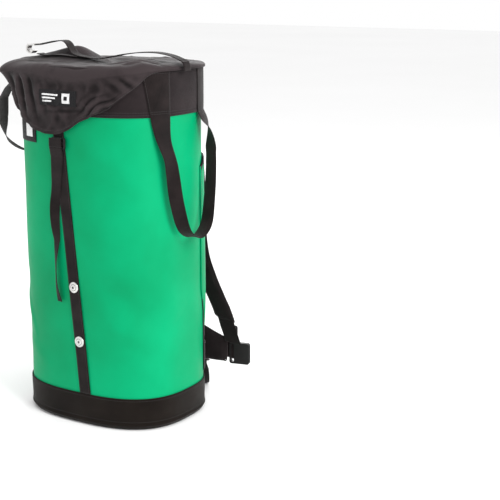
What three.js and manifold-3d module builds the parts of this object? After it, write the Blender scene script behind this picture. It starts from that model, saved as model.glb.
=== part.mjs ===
// A haul bag for climbing ropes: a stiff oval tube with a black base cap and collar, a fabric lid
// with a top strap and hook, two haul loops, and a padded backpack harness over a stow pocket.
// Millimetres, +Z up. The origin is at the middle of the base, the front faces -Y and the harness
// is on the +Y side. "Left" is -X and "right" is +X.
import * as THREE from 'three';
import { mergeVertices } from 'three/addons/utils/BufferGeometryUtils.js';
import Module from 'manifold-3d';

const wasm = await Module();
wasm.setup();

// Driving dimensions.
const halfWidth = 175;
const halfDepth = 135;
const squareness = 2.7;
const shellWall = 2.2;
const baseHeight = 65;
const shellTop = 698;
const collarBottom = 610;
const collarTop = 701;
const gap = 0.5;
const webbing = 1.8;
const skinHeight = 2.4;
const ringCount = 60;
const sewnHeight = 4.7;

const sideStrapWidth = 38;
const sideStrapGirth = 296;
const frontStrapWidth = 26;
const frontStrapTop = -24;
const frontStrapFoot = 25;
const rivetHeights = { rivet_upper: 278, rivet_lower: 170 };
const rivetRadius = 10.5;
const rivetShank = 4;

const lidRim = 704.5;
const lidOverhang = 9;
const lidTip = -18;
const buckleHeight = 557;
// The lid's lower edge over the front: distance around the bag, and height above the floor.
const lidEdge = [
  [-215, 701], [-185, 676], [-148, 622], [-112, 597], [-80, 578], [-32, 573], [6, 582],
  [38, 603], [66, 613], [100, 629], [152, 671], [185, 701],
];

const harnessSpacing = 70;
const hangBar = 12;
const hangHeight = 580;
const adjusterSize = 44;
const adjusterBar = 5;
const foldRadius = 4.7;
const padThickness = 10;
const padWidth = 72;

const colours = {
  green: 0x06a864, black: 0x2b2728, nylon: 0x3b3738, webbing: 0x252223,
  blue: 0x1f6cc8, steel: 0xb9bcbd, plastic: 0x1d1c1d, label: 0x161516, foam: 0x2f2b2c,
};

// --- geometry helpers -------------------------------------------------------------------------

const lerp = THREE.MathUtils.lerp;

function signedPower(value, power) {
  return Math.sign(value) * Math.abs(value) ** power;
}

// The oval's outline as a table of places against the distance walked around it.
function measureOval() {
  const steps = 7200;
  const table = [];
  let walked = 0;
  for (let i = 0; i <= steps; i += 1) {
    const angle = -Math.PI / 2 + (2 * Math.PI * i) / steps;
    const x = halfWidth * signedPower(Math.cos(angle), 2 / squareness);
    const y = halfDepth * signedPower(Math.sin(angle), 2 / squareness);
    if (i > 0) walked += Math.hypot(x - table[i - 1].x, y - table[i - 1].y);
    table.push({ walked, x, y });
  }
  return table;
}

const ovalTable = measureOval();
const girth = ovalTable[ovalTable.length - 1].walked;
const backCentre = girth / 2;

// The place on the oval at a distance walked from the front centre towards +X.
function ovalPoint(distance) {
  const wanted = ((distance % girth) + girth) % girth;
  let low = 0;
  let high = ovalTable.length - 1;
  while (high - low > 1) {
    const middle = (low + high) >> 1;
    if (ovalTable[middle].walked <= wanted) low = middle;
    else high = middle;
  }
  const a = ovalTable[low];
  const b = ovalTable[high];
  const share = (wanted - a.walked) / (b.walked - a.walked);
  return new THREE.Vector2(lerp(a.x, b.x, share), lerp(a.y, b.y, share));
}

function ovalFrame(distance) {
  const reach = 4;
  const before = ovalPoint(distance - reach);
  const after = ovalPoint(distance + reach);
  const along = after.sub(before).normalize();
  return {
    place: ovalPoint(distance),
    along: new THREE.Vector3(along.x, along.y, 0),
    out: new THREE.Vector3(along.y, -along.x, 0),
  };
}

// A point on the bag's skin: distance around it, height above the floor, and height off the skin.
function onBag(distance, z, off) {
  const { place, out } = ovalFrame(distance);
  return new THREE.Vector3(place.x + out.x * off, place.y + out.y * off, z);
}

// Turns points and triangles into a geometry whose faces point outwards.
function closedGeometry(points, triangles) {
  let volume = 0;
  for (const [a, b, c] of triangles) {
    volume += points[a].dot(new THREE.Vector3().crossVectors(points[b], points[c]));
  }
  const ordered = volume > 0 ? triangles : triangles.map(([a, b, c]) => [a, c, b]);
  const geometry = new THREE.BufferGeometry();
  geometry.setAttribute('position', new THREE.Float32BufferAttribute(
    points.flatMap((p) => [p.x, p.y, p.z]), 3));
  geometry.setIndex(ordered.flat());
  geometry.computeVertexNormals();
  return geometry;
}

// A sheet-like solid. point(u, v, off) places the sheet, and off runs through its thickness.
function slab({ point, u, v, off, across, along }) {
  const points = [];
  const triangles = [];
  const columns = across + 1;
  const at = (i, j, side) => (side * (along + 1) + j) * columns + i;
  const quad = (a, b, c, d) => triangles.push([a, b, c], [a, c, d]);
  for (const height of off) {
    for (let j = 0; j <= along; j += 1) {
      for (let i = 0; i <= across; i += 1) {
        points.push(point(lerp(u[0], u[1], i / across), lerp(v[0], v[1], j / along), height));
      }
    }
  }
  for (let j = 0; j < along; j += 1) {
    for (let i = 0; i < across; i += 1) {
      quad(at(i, j, 1), at(i + 1, j, 1), at(i + 1, j + 1, 1), at(i, j + 1, 1));
      quad(at(i, j, 0), at(i, j + 1, 0), at(i + 1, j + 1, 0), at(i + 1, j, 0));
    }
  }
  for (let i = 0; i < across; i += 1) {
    quad(at(i, 0, 0), at(i + 1, 0, 0), at(i + 1, 0, 1), at(i, 0, 1));
    quad(at(i, along, 0), at(i, along, 1), at(i + 1, along, 1), at(i + 1, along, 0));
  }
  for (let j = 0; j < along; j += 1) {
    quad(at(0, j, 0), at(0, j, 1), at(0, j + 1, 1), at(0, j + 1, 0));
    quad(at(across, j, 0), at(across, j + 1, 0), at(across, j + 1, 1), at(across, j, 1));
  }
  return closedGeometry(points, triangles);
}

// A solid made of rings of points. A closed one is a hoop; an open one is capped at its middle.
function rings(rows, closed) {
  const count = rows[0].length;
  const points = rows.flat();
  const triangles = [];
  const last = closed ? rows.length : rows.length - 1;
  for (let j = 0; j < last; j += 1) {
    const next = (j + 1) % rows.length;
    for (let i = 0; i < count; i += 1) {
      const k = (i + 1) % count;
      triangles.push([j * count + i, j * count + k, next * count + k]);
      triangles.push([j * count + i, next * count + k, next * count + i]);
    }
  }
  if (!closed) {
    for (const [row, turn] of [[0, 1], [rows.length - 1, 0]]) {
      const middle = new THREE.Vector3();
      rows[row].forEach((p) => middle.addScaledVector(p, 1 / count));
      const hub = points.push(middle) - 1;
      for (let i = 0; i < count; i += 1) {
        const a = row * count + i;
        const b = row * count + ((i + 1) % count);
        triangles.push(turn ? [hub, b, a] : [hub, a, b]);
      }
    }
  }
  return closedGeometry(points, triangles);
}

// A solid turned around the oval from a profile of [height off the skin, height above the floor].
function ovalTurn(profile, closed) {
  const rows = profile.map(([off, z]) => {
    const row = [];
    for (let i = 0; i < ringCount; i += 1) row.push(onBag((girth * i) / ringCount, z, off));
    return row;
  });
  return rings(rows, closed);
}

function toManifold(geometry) {
  const bare = geometry.clone();
  bare.deleteAttribute('normal');
  bare.deleteAttribute('uv');
  const merged = mergeVertices(bare, 1e-4);
  return new wasm.Manifold(new wasm.Mesh({
    numProp: 3,
    vertProperties: new Float32Array(merged.attributes.position.array),
    triVerts: new Uint32Array(merged.index.array),
  }));
}

function fromManifold(solid) {
  const mesh = solid.getMesh();
  const geometry = new THREE.BufferGeometry();
  geometry.setAttribute('position', new THREE.BufferAttribute(mesh.vertProperties, 3));
  geometry.setIndex(new THREE.BufferAttribute(mesh.triVerts, 1));
  geometry.computeVertexNormals();
  return geometry;
}

function subtract(geometry, ...tools) {
  return fromManifold(tools.reduce((solid, tool) => solid.subtract(toManifold(tool)),
    toManifold(geometry)));
}

function unite(geometry, ...others) {
  return fromManifold(others.reduce((solid, other) => solid.add(toManifold(other)),
    toManifold(geometry)));
}

function smooth(points) {
  return new THREE.CatmullRomCurve3(points.map((p) => new THREE.Vector3(...p)), false, 'centripetal');
}

// A strap or pad swept along a curve. side(v) is the direction of its width.
// crowd above 1 puts more of its steps near the start.
function strap({ curve, side, width, thickness, along, across = 1, crowd = 1 }) {
  const widthAt = typeof width === 'function' ? width : () => width;
  const point = (u, share, off) => {
    const v = share ** crowd;
    const across3 = side(v).clone().normalize();
    const normal = new THREE.Vector3().crossVectors(across3, curve.getTangentAt(v)).normalize();
    return curve.getPointAt(v)
      .addScaledVector(across3, (u * widthAt(v)) / 2)
      .addScaledVector(normal, off);
  };
  return slab({
    point, u: [-1, 1], v: [0, 1], across, along, off: [-thickness / 2, thickness / 2],
  });
}

// The points of a rectangle with rounded corners, centred on the origin.
function roundedRectangle(width, height, corner, steps = 4) {
  const points = [];
  const corners = [[1, -1, -0.5], [1, 1, 0], [-1, 1, 0.5], [-1, -1, 1]];
  for (const [signX, signY, start] of corners) {
    for (let i = 0; i <= steps; i += 1) {
      const angle = Math.PI * (start + (0.5 * i) / steps);
      points.push(new THREE.Vector2(
        signX * (width / 2 - corner) + corner * Math.cos(angle),
        signY * (height / 2 - corner) + corner * Math.sin(angle),
      ));
    }
  }
  return points;
}

// A flat buckle: a rounded plate in the XY plane with slots, centred on its thickness.
function slottedPlate({ width, height, corner, thickness, slots }) {
  const outline = new THREE.Shape(roundedRectangle(width, height, corner));
  for (const [middle, slotWidth, slotHeight] of slots) {
    const hole = roundedRectangle(slotWidth, slotHeight, 1, 1).reverse();
    outline.holes.push(new THREE.Path(hole.map((p) => p.setY(p.y + middle))));
  }
  const plate = new THREE.ExtrudeGeometry(outline, {
    depth: thickness, bevelEnabled: false, curveSegments: 4,
  });
  return plate.translate(0, 0, -thickness / 2);
}

// Stands a flat geometry up: its X goes along side, its Y along up, its Z outwards.
function standUp(geometry, place, side, up) {
  const x = side.clone().normalize();
  const z = new THREE.Vector3().crossVectors(x, up).normalize();
  const y = new THREE.Vector3().crossVectors(z, x);
  const matrix = new THREE.Matrix4().makeBasis(x, y, z).setPosition(place);
  return geometry.applyMatrix4(matrix);
}

const bag = new THREE.Group();

function add(name, geometry, colour, roughness = 0.8, metalness = 0) {
  const material = new THREE.MeshStandardMaterial({ color: colour, roughness, metalness });
  const mesh = new THREE.Mesh(geometry, material);
  mesh.name = name;
  bag.add(mesh);
  return mesh;
}

// --- the tube: base, shell and collar ---------------------------------------------------------

function makeBaseCap() {
  return ovalTurn([
    [-6, 0], [0, 1.2], [skinHeight + gap, 6], [skinHeight + gap, baseHeight], [gap, baseHeight],
    [gap, 3.4], [-8, 3.4],
  ], false);
}

function makeFloorLayer() {
  const edge = -shellWall - gap;
  return ovalTurn([[edge, 4], [edge, 6.4]], false);
}

// A cylinder along the skin's outward direction, from one height off the skin to another.
function studOnBag(distance, z, radius, from, to, sides = 16) {
  const { out } = ovalFrame(distance);
  const stud = new THREE.CylinderGeometry(radius, radius, to - from, sides);
  const turn = new THREE.Quaternion().setFromUnitVectors(new THREE.Vector3(0, 1, 0), out);
  const place = onBag(distance, z, (from + to) / 2);
  return stud.applyQuaternion(turn).translate(place.x, place.y, place.z);
}

function frontStrapCentre(z) {
  return lerp(frontStrapFoot, frontStrapTop, (z - baseHeight) / (collarBottom - baseHeight));
}

function rivetHoles() {
  return Object.values(rivetHeights).map((z) => (
    studOnBag(frontStrapCentre(z), z, rivetShank + gap, -8, 8)));
}

function makeBodyShell() {
  const wall = ovalTurn([[0, 4], [0, shellTop], [-shellWall, shellTop], [-shellWall, 4]], true);
  return subtract(wall, ...rivetHoles());
}

function makeCollar() {
  const inner = -shellWall - gap;
  return ovalTurn([
    [gap, collarBottom], [skinHeight + gap, collarBottom], [skinHeight + gap, collarTop],
    [inner - skinHeight, collarTop], [inner - skinHeight, 650], [inner, 650],
    [inner, shellTop + gap], [gap, shellTop + gap],
  ], true);
}

// --- straps and labels sewn on the shell ------------------------------------------------------

// A patch on the skin between two distances around the bag and two heights.
function patch({ centre, half, z, off, across = 2, along = 2 }) {
  return slab({
    point: (u, v, height) => onBag(centre(v) + u * half, v, height),
    u: [-1, 1], v: z, off, across, along,
  });
}

function makeFrontStrap() {
  const band = patch({
    centre: frontStrapCentre, half: frontStrapWidth / 2,
    z: [baseHeight + gap, collarBottom - gap], off: [gap, gap + webbing], across: 4, along: 8,
  });
  return subtract(band, ...rivetHoles());
}

function makeRivet(z) {
  const distance = frontStrapCentre(z);
  const seat = gap + webbing + 0.3;
  const head = studOnBag(distance, z, rivetRadius, seat, seat + 2.4, 28);
  const shank = studOnBag(distance, z, rivetShank, -4.6, seat + 1);
  return unite(head, shank);
}

function makeRivetWasher(z) {
  const distance = frontStrapCentre(z);
  const disc = studOnBag(distance, z, rivetRadius - 1, -4.2, -shellWall - gap, 28);
  return subtract(disc, studOnBag(distance, z, rivetShank + gap, -8, 0));
}

// One strap runs down the left side only.
function makeSideStrap() {
  return patch({
    centre: () => -sideStrapGirth, half: sideStrapWidth / 2,
    z: [baseHeight + gap, collarBottom - gap], off: [gap, gap + webbing], across: 4, along: 4,
  });
}

function makeSideLabel() {
  return patch({
    centre: () => -165, half: 82, z: [552, collarBottom - 2], off: [gap, gap + 1.2],
    across: 12, along: 1,
  });
}

// --- the stow pocket and the back -------------------------------------------------------------

const panelHalf = 199;
const panelFootHalf = 169;
const panelShoulder = 252;
const panelFoot = 165;
const panelFootRise = 24;
const panelMouth = 518;
const mouthGape = 22;
const gussetWidth = 20;

function panelHalfAt(z) {
  if (z >= panelShoulder) return panelHalf;
  return lerp(panelFootHalf, panelHalf, (z - panelFoot) / (panelShoulder - panelFoot));
}

function panelPoint(u, v, off) {
  const foot = panelFoot + panelFootRise * (1 - u * u);
  const z = lerp(foot, panelMouth, v);
  const bulge = lerp(5, mouthGape, v * v) * (1 - u * u) ** 0.8;
  return onBag(backCentre + u * panelHalfAt(z), z, off + bulge);
}

function makePocketPanel() {
  return slab({ point: panelPoint, u: [-1, 1], v: [0, 1], off: [2.7, 4.5], across: 18, along: 7 });
}

function makePocketLining() {
  const point = (u, v, off) => {
    const z = lerp(200, panelMouth + 2 + 30 * (1 - u * u), v);
    return onBag(backCentre + u * (panelHalfAt(200) - 8), z, off);
  };
  return slab({ point, u: [-1, 1], v: [0, 1], off: [gap, gap + 1.1], across: 36, along: 1 });
}

function makeGusset(side) {
  const limit = girth / 2 - sideStrapGirth - sideStrapWidth / 2 - 1.5;
  const point = (u, v, off) => {
    const z = lerp(140, 232, v);
    const inner = panelHalfAt(z) + 1;
    const outer = Math.min(inner + gussetWidth, limit);
    return onBag(backCentre - side * lerp(inner, outer, u), z, off);
  };
  return slab({ point, u: [0, 1], v: [0, 1], off: [gap, gap + webbing], across: 4, along: 8 });
}

function makeLumbarPanel() {
  const point = (u, v, off) => {
    const top = panelFoot + panelFootRise * (1 - u * u) - 1.5;
    return onBag(backCentre + u * (panelFootHalf - 8), lerp(139.5, top, v), off);
  };
  return slab({ point, u: [-1, 1], v: [0, 1], off: [1, 7], across: 18, along: 1 });
}

function makeBeltSleeve() {
  return patch({
    centre: () => backCentre, half: 199, z: [77, 138.5], off: [1, 5], across: 22, along: 1,
  });
}

function makeAnchorPatch(side) {
  return patch({
    centre: () => backCentre - side * harnessSpacing, half: 37, z: [614, 672],
    off: [skinHeight + 2 * gap, skinHeight + 2 * gap + 1.6], across: 6, along: 1,
  });
}

// --- haul loops -------------------------------------------------------------------------------

const haulLoopMiddle = 254;
const haulLoopLegs = 71;
const haulLoopRoot = 611;

// One of a haul loop's ends, sewn flat on the collar.
function makeHaulLeg(side, end) {
  return patch({
    centre: () => side * (haulLoopMiddle + end * haulLoopLegs), half: 28,
    z: [haulLoopRoot + 1.5, 695], off: [sewnHeight - 0.7, sewnHeight + 0.7], across: 6, along: 1,
  });
}

// A loop of webbing that leaves the collar's foot in two legs, twists and hangs edge-on below.
function makeHaulLoop({ side, foot, stand }) {
  const stations = [[1, 1, 0], [0.99, 0.86, 0.2], [0.94, 0.66, 0.5], [0.76, 0.3, 0.85], [0.42, 0.07, 1]];
  const legPoint = (end, [spread, height, off]) => onBag(
    side * (haulLoopMiddle + end * haulLoopLegs * spread),
    lerp(foot, haulLoopRoot, height), lerp(sewnHeight, stand, off));
  const down = stations.map((station) => legPoint(-1, station));
  const up = stations.map((station) => legPoint(1, station)).reverse();
  const curve = new THREE.CatmullRomCurve3(
    [...down, onBag(side * haulLoopMiddle, foot, stand), ...up], false, 'centripetal');
  const narrow = (v) => THREE.MathUtils.smoothstep(Math.min(v, 1 - v), 0, 0.27);
  const width = (v) => lerp(56, 27, narrow(v));
  const { along: forward, out } = ovalFrame(side * haulLoopMiddle);
  const turn = (v) => Math.PI * THREE.MathUtils.smoothstep(v, 0.02, 0.98);
  const sideAt = (v) => forward.clone().multiplyScalar(-side * Math.cos(turn(v)))
    .addScaledVector(out, -Math.sin(turn(v)));
  const point = (u, v, off) => {
    const centre = curve.getPointAt(v);
    const across3 = sideAt(v);
    const normal = new THREE.Vector3().crossVectors(across3, curve.getTangentAt(v)).normalize();
    const free = centre.clone().addScaledVector(across3, (u * width(v)) / 2)
      .addScaledVector(normal, off);
    const hold = THREE.MathUtils.smoothstep(centre.z, haulLoopRoot - 90, haulLoopRoot - 22);
    if (hold === 0) return free;
    const leg = v < 0.5 ? -1 : 1;
    const shift = leg * side * u * (width(v) / 2);
    const flat = onBag(
      side * (haulLoopMiddle + leg * haulLoopLegs) + shift, centre.z, sewnHeight + side * off);
    return free.lerp(flat, hold);
  };
  return slab({ point, u: [-1, 1], v: [0, 1], off: [-0.7, 0.7], across: 2, along: 36 });
}

// --- the lid ----------------------------------------------------------------------------------

// The height of the lid's lower edge at a distance around the bag.
function lidEdgeHeight(distance) {
  const wrapped = distance > backCentre ? distance - girth : distance;
  for (let i = 1; i < lidEdge.length; i += 1) {
    const [from, low] = lidEdge[i - 1];
    const [to, high] = lidEdge[i];
    if (wrapped >= from && wrapped <= to) return lerp(low, high, (wrapped - from) / (to - from));
  }
  return lidRim - 3.5;
}

function bump(x, y, reachX, reachY) {
  return Math.exp(-((x / reachX) ** 2) - (y / reachY) ** 2);
}

// How far the lid stands above its rim: a soft peak on the left and a hollow on the right.
function lidLift(x, y) {
  return 27 * bump(x + 72, y + 14, 52, 40) - 8 * bump(x - 50, y - 10, 70, 70);
}

// The lid's left front corner sticks out like an ear.
function lidEar(distance) {
  const wrapped = distance > backCentre ? distance - girth : distance;
  return 22 * bump(wrapped + 180, 0, 26, 1);
}

function makeLidFlap() {
  const wall = 2.2;
  const scales = [0.2, 0.4, 0.6, 0.8, 0.93];
  const ringAt = (place) => {
    const row = [];
    for (let i = 0; i < ringCount; i += 1) row.push(place((girth * i) / ringCount));
    return row;
  };
  const dome = (scale, drop) => ringAt((distance) => {
    const edge = onBag(distance, 0, 0).multiplyScalar(scale);
    return edge.setZ(lidRim + lidLift(edge.x, edge.y) - drop);
  });
  const rim = (inset) => ringAt((distance) => (
    onBag(distance, lidRim - inset, lidOverhang - inset + lidEar(distance))));
  const hem = (inset) => ringAt((distance) => (
    onBag(distance, lidEdgeHeight(distance), lidOverhang - inset + 0.3 * lidEar(distance))));
  const rows = [
    ...scales.map((scale) => dome(scale, 0)), rim(0), hem(0), hem(wall), rim(wall),
    ...scales.map((scale) => dome(scale, wall)).reverse(),
  ];
  return rings(rows, false);
}

function makeLidLabel() {
  return patch({
    centre: () => -15, half: 48, z: [630, 662], off: [lidOverhang + gap, lidOverhang + gap + 1],
    across: 8, along: 1,
  });
}

function makeClosureBuckle() {
  const { along } = ovalFrame(lidTip);
  const plate = slottedPlate({
    width: 34, height: 22, corner: 4, thickness: 3, slots: [[5.5, 26, 5], [-5.5, 26, 5]],
  });
  const place = onBag(lidTip, buckleHeight, 5.4);
  return standUp(plate, place, along, new THREE.Vector3(0, 0, 1));
}

function makeClosureTail() {
  return patch({
    centre: (z) => lerp(-27, -38, (z - 245) / 300), half: 10, z: [245, buckleHeight - 13],
    off: [3.2, 4.8],
    across: 2, along: 6,
  });
}

function makeTopStrap() {
  const curve = smooth([
    [-128, -58, 733], [-110, -52, 737], [-92, -46, 740.5], [-74, -41, 739.5], [-58, -42, 730],
    [-42, -42, 719.5], [-24, -38, 713.5], [0, -30, 710], [25, -24, 713], [50, -21, 718],
    [90, -20, 723], [130, -19, 724], [160, -18, 720], [178, -17, 714.5], [192, -16, 708.5],
  ]);
  const side = () => new THREE.Vector3(0, 1, 0);
  return strap({ curve, side, width: 22, thickness: 1.8, along: 28 });
}

// The hook at the strap's end: a slotted plate with a prong curled out of flat steel.
function makeTopHook() {
  const inner = 6.5;
  const outer = 9.5;
  const start = Math.PI * 0.5;
  const sweep = Math.PI * 1.35;
  const arc = (radius, from, to) => Array.from({ length: 15 }, (_, i) => {
    const angle = lerp(from, to, i / 14);
    return new THREE.Vector2(radius * Math.cos(angle), radius * Math.sin(angle));
  });
  const band = new THREE.Shape([...arc(outer, start, start + sweep), ...arc(inner, start + sweep, start)]);
  const curl = new THREE.ExtrudeGeometry(band, { depth: 14, bevelEnabled: false });
  curl.translate(0, 0, -7).rotateX(Math.PI / 2);
  const plate = slottedPlate({ width: 28, height: 18, corner: 3, thickness: 3, slots: [[3, 23, 5]] });
  plate.rotateZ(-Math.PI / 2).translate(8.5, 0, (inner + outer) / 2);
  return unite(curl, plate).translate(-149, -58, 725);
}

// --- the harness ------------------------------------------------------------------------------

// A place in the harness's own frame: out from the middle, off the skin, above the floor.
function harnessFrame(side) {
  const distance = backCentre - side * harnessSpacing;
  const { place, along, out } = ovalFrame(distance);
  const outward = along.clone().multiplyScalar(-side);
  const at = (sideways, off, z) => new THREE.Vector3(place.x, place.y, z)
    .addScaledVector(outward, sideways)
    .addScaledVector(out, off);
  return { at, outward, out };
}

const shoulderRoutes = {
  left: [[0, 34, 513], [0, 41, 480], [1, 51, 420], [3, 58, 350], [6, 58, 280], [8, 50, 214]],
  right: [
    [0, 34, 513], [0, 37, 480], [-1, 37, 420], [-1, 35, 350], [6, 36, 297], [22, 39, 258],
    [52, 43, 208], [80, 47, 160],
  ],
};

function shoulderCurve(name, side) {
  const { at } = harnessFrame(side);
  const points = shoulderRoutes[name].map((stop) => at(...stop));
  return new THREE.CatmullRomCurve3(points, false, 'centripetal');
}

function foldAround(at, barHeight, above) {
  const turn = [];
  for (let i = 0; i <= 6; i += 1) {
    const angle = Math.PI * (i / 6);
    const lift = above ? Math.sin(angle) : -Math.sin(angle);
    turn.push(at(0, hangBar - foldRadius * Math.cos(angle), barHeight + foldRadius * lift));
  }
  return turn;
}

function makeAnchorWebbing(side) {
  const { at, outward } = harnessFrame(side);
  const curve = new THREE.CatmullRomCurve3([
    at(0, hangBar - foldRadius, 648), at(0, hangBar - foldRadius, 600),
    ...foldAround(at, hangHeight, false), at(0, hangBar + foldRadius, 602),
  ], false, 'centripetal');
  return strap({ curve, side: () => outward, width: 32, thickness: 1.6, along: 24 });
}

function makeAdjuster(side) {
  const { at, outward } = harnessFrame(side);
  const slot = (adjusterSize - 3 * adjusterBar) / 2;
  const offset = (slot + adjusterBar) / 2;
  const plate = slottedPlate({
    width: 48, height: adjusterSize, corner: 12, thickness: 4,
    slots: [[offset, 34, slot], [-offset, 34, slot]],
  });
  const place = at(0, hangBar, hangHeight + adjusterBar / 2 - adjusterSize / 2);
  return standUp(plate, place, outward, new THREE.Vector3(0, 0, 1));
}

function padShape(v) {
  return padWidth * (0.86 + 0.14 * Math.sin(Math.PI * Math.min(1, v * 1.3))) * (1 - 0.28 * v * v);
}

function makeShoulderPad(name, side) {
  const { outward } = harnessFrame(side);
  return strap({
    curve: shoulderCurve(name, side), side: () => outward, width: padShape,
    thickness: padThickness, along: 14, across: 2,
  });
}

function padNormal(curve, outward, side, v) {
  return new THREE.Vector3().crossVectors(outward, curve.getTangentAt(v)).normalize()
    .multiplyScalar(side);
}

function padFace(name, side, off) {
  const { outward } = harnessFrame(side);
  const curve = shoulderCurve(name, side);
  return (v) => curve.getPointAt(v).addScaledVector(padNormal(curve, outward, side, v), off);
}

function makeShoulderWebbing(name, side) {
  const { at, outward } = harnessFrame(side);
  const bar = hangHeight - adjusterSize + adjusterBar;
  const face = padFace(name, side, padThickness / 2 + 1.5);
  const run = [];
  for (let i = 0; i <= 12; i += 1) run.push(face((0.97 * i) / 12));
  const curve = new THREE.CatmullRomCurve3([
    at(0, hangBar - foldRadius, bar - 11), ...foldAround(at, bar, true),
    at(0, hangBar + foldRadius + 1, bar - 8), ...run,
  ], false, 'centripetal');
  return strap({ curve, side: () => outward, width: 30, thickness: 1.6, along: 40, crowd: 1.9 });
}

function makeLadderLock(name, side) {
  const { outward } = harnessFrame(side);
  const curve = shoulderCurve(name, side);
  const v = 0.25;
  const plate = slottedPlate({
    width: 40, height: 28, corner: 4, thickness: 4, slots: [[7, 31, 7], [-7, 31, 7]],
  });
  const place = padFace(name, side, padThickness / 2 + 5)(v);
  return standUp(plate, place, outward.clone().multiplyScalar(side), curve.getTangentAt(v).negate());
}

const lowerBuckleHeight = { left: 194, right: 141 };
const lowerRoutes = {
  left: [[8, 49, 210], [9, 47, 203], [10, 46, 190], [10, 46, 184]],
  right: [[83, 47.5, 155], [87, 48, 148], [92, 49, 138], [96, 50, 129]],
};

function makeLowerWebbing(name, side) {
  const { at, outward } = harnessFrame(side);
  const points = lowerRoutes[name].map((stop) => at(...stop));
  const curve = new THREE.CatmullRomCurve3(points, false, 'centripetal');
  return strap({ curve, side: () => outward, width: 25, thickness: 1.8, along: 6 });
}

function makeLowerBuckle(name, side) {
  const { at, outward } = harnessFrame(side);
  const [sideways, off] = lowerRoutes[name][2];
  const plate = slottedPlate({
    width: 34, height: 22, corner: 4, thickness: 4, slots: [[5.5, 27, 5], [-5.5, 27, 5]],
  });
  return standUp(plate, at(sideways, off + 4.8, lowerBuckleHeight[name]), outward, new THREE.Vector3(0, 0, 1));
}

// --- the hip belt -----------------------------------------------------------------------------

const wingRoutes = {
  left: [[-62, 151, 122], [-100, 152, 114], [-138, 151, 98], [-172, 146, 80]],
  right: [[62, 151, 124], [92, 159, 110], [118, 167, 100], [142, 173, 94]],
};
const wingThickness = 12;

function makeHipWing(name) {
  return strap({
    curve: smooth(wingRoutes[name]), side: () => new THREE.Vector3(0, 0, 1),
    width: (v) => lerp(92, 50, v), thickness: wingThickness, along: 10, across: 2,
  });
}

function wingFace(name, v, off) {
  const curve = smooth(wingRoutes[name]);
  const up = new THREE.Vector3(0, 0, 1);
  const out = new THREE.Vector3().crossVectors(up, curve.getTangentAt(v)).normalize();
  if (out.y < 0) out.negate();
  return curve.getPointAt(v).addScaledVector(out, off);
}

function makeHipWebbing(name) {
  const run = [];
  for (let i = 0; i <= 6; i += 1) run.push(wingFace(name, 0.3 + 0.7 * (i / 6), wingThickness / 2 + 1.5));
  const end = run[run.length - 1];
  const step = end.clone().sub(run[run.length - 2]).normalize();
  run.push(end.clone().addScaledVector(step, 14));
  const curve = new THREE.CatmullRomCurve3(run, false, 'centripetal');
  return strap({
    curve, side: () => new THREE.Vector3(0, 0, 1), width: 38, thickness: 1.8, along: 12,
  });
}

function hipEnd(name, reach) {
  const end = wingFace(name, 1, wingThickness / 2 + 1.5);
  const step = smooth(wingRoutes[name]).getTangentAt(1);
  return { place: end.addScaledVector(step, reach), step };
}

function makeHipBuckleMale() {
  const plate = slottedPlate({
    width: 44, height: 18, corner: 3, thickness: 6, slots: [[-3, 39, 6]],
  });
  const stem = new THREE.BoxGeometry(12, 16, 5).translate(0, 14, 0);
  const prongs = [-1, 1].map((turn) => new THREE.BoxGeometry(6, 22, 5).translate(turn * 15, 17, 0));
  const { place, step } = hipEnd('left', 26);
  return standUp(unite(plate, stem, ...prongs), place, new THREE.Vector3(0, 0, 1), step);
}

function makeHipBuckleFemale() {
  const body = slottedPlate({
    width: 46, height: 44, corner: 5, thickness: 9, slots: [[-15, 39, 6]],
  });
  const mouth = new THREE.BoxGeometry(38, 32, 5.6).translate(0, 10, 0);
  const { place, step } = hipEnd('right', 39);
  return standUp(subtract(body, mouth), place, new THREE.Vector3(0, 0, 1), step);
}

// --- loose webbing on the floor ---------------------------------------------------------------

const tailRoutes = {
  hip_tail_left: [
    [-196, 178, 44], [-196, 200, 22], [-186, 226, 6], [-168, 262, 2], [-140, 318, 2],
    [-98, 350, 2], [-44, 346, 2], [0, 318, 2],
  ],
  hip_tail_right: [
    [98, 163, 68], [98, 167, 44], [95, 173, 20], [88, 182, 5], [74, 196, 2], [58, 214, 2],
    [38, 234, 2], [16, 250, 2],
  ],
  shoulder_tail: [
    [-88, 184, 178], [-88, 190, 140], [-86, 196, 90], [-84, 204, 40], [-80, 216, 8],
    [-72, 236, 2], [-62, 262, 2],
  ],
};

// The strap's width lies flat on the floor and level where it hangs.
function makeTail(name, width) {
  const curve = smooth(tailRoutes[name]);
  const side = (v) => {
    const along = curve.getTangentAt(v);
    const level = new THREE.Vector3(along.y, -along.x, 0);
    return level.lengthSq() < 1e-3 ? new THREE.Vector3(1, 0, 0) : level;
  };
  return strap({ curve, side, width, thickness: 1.8, along: 40 });
}

// --- assembly ---------------------------------------------------------------------------------

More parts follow.
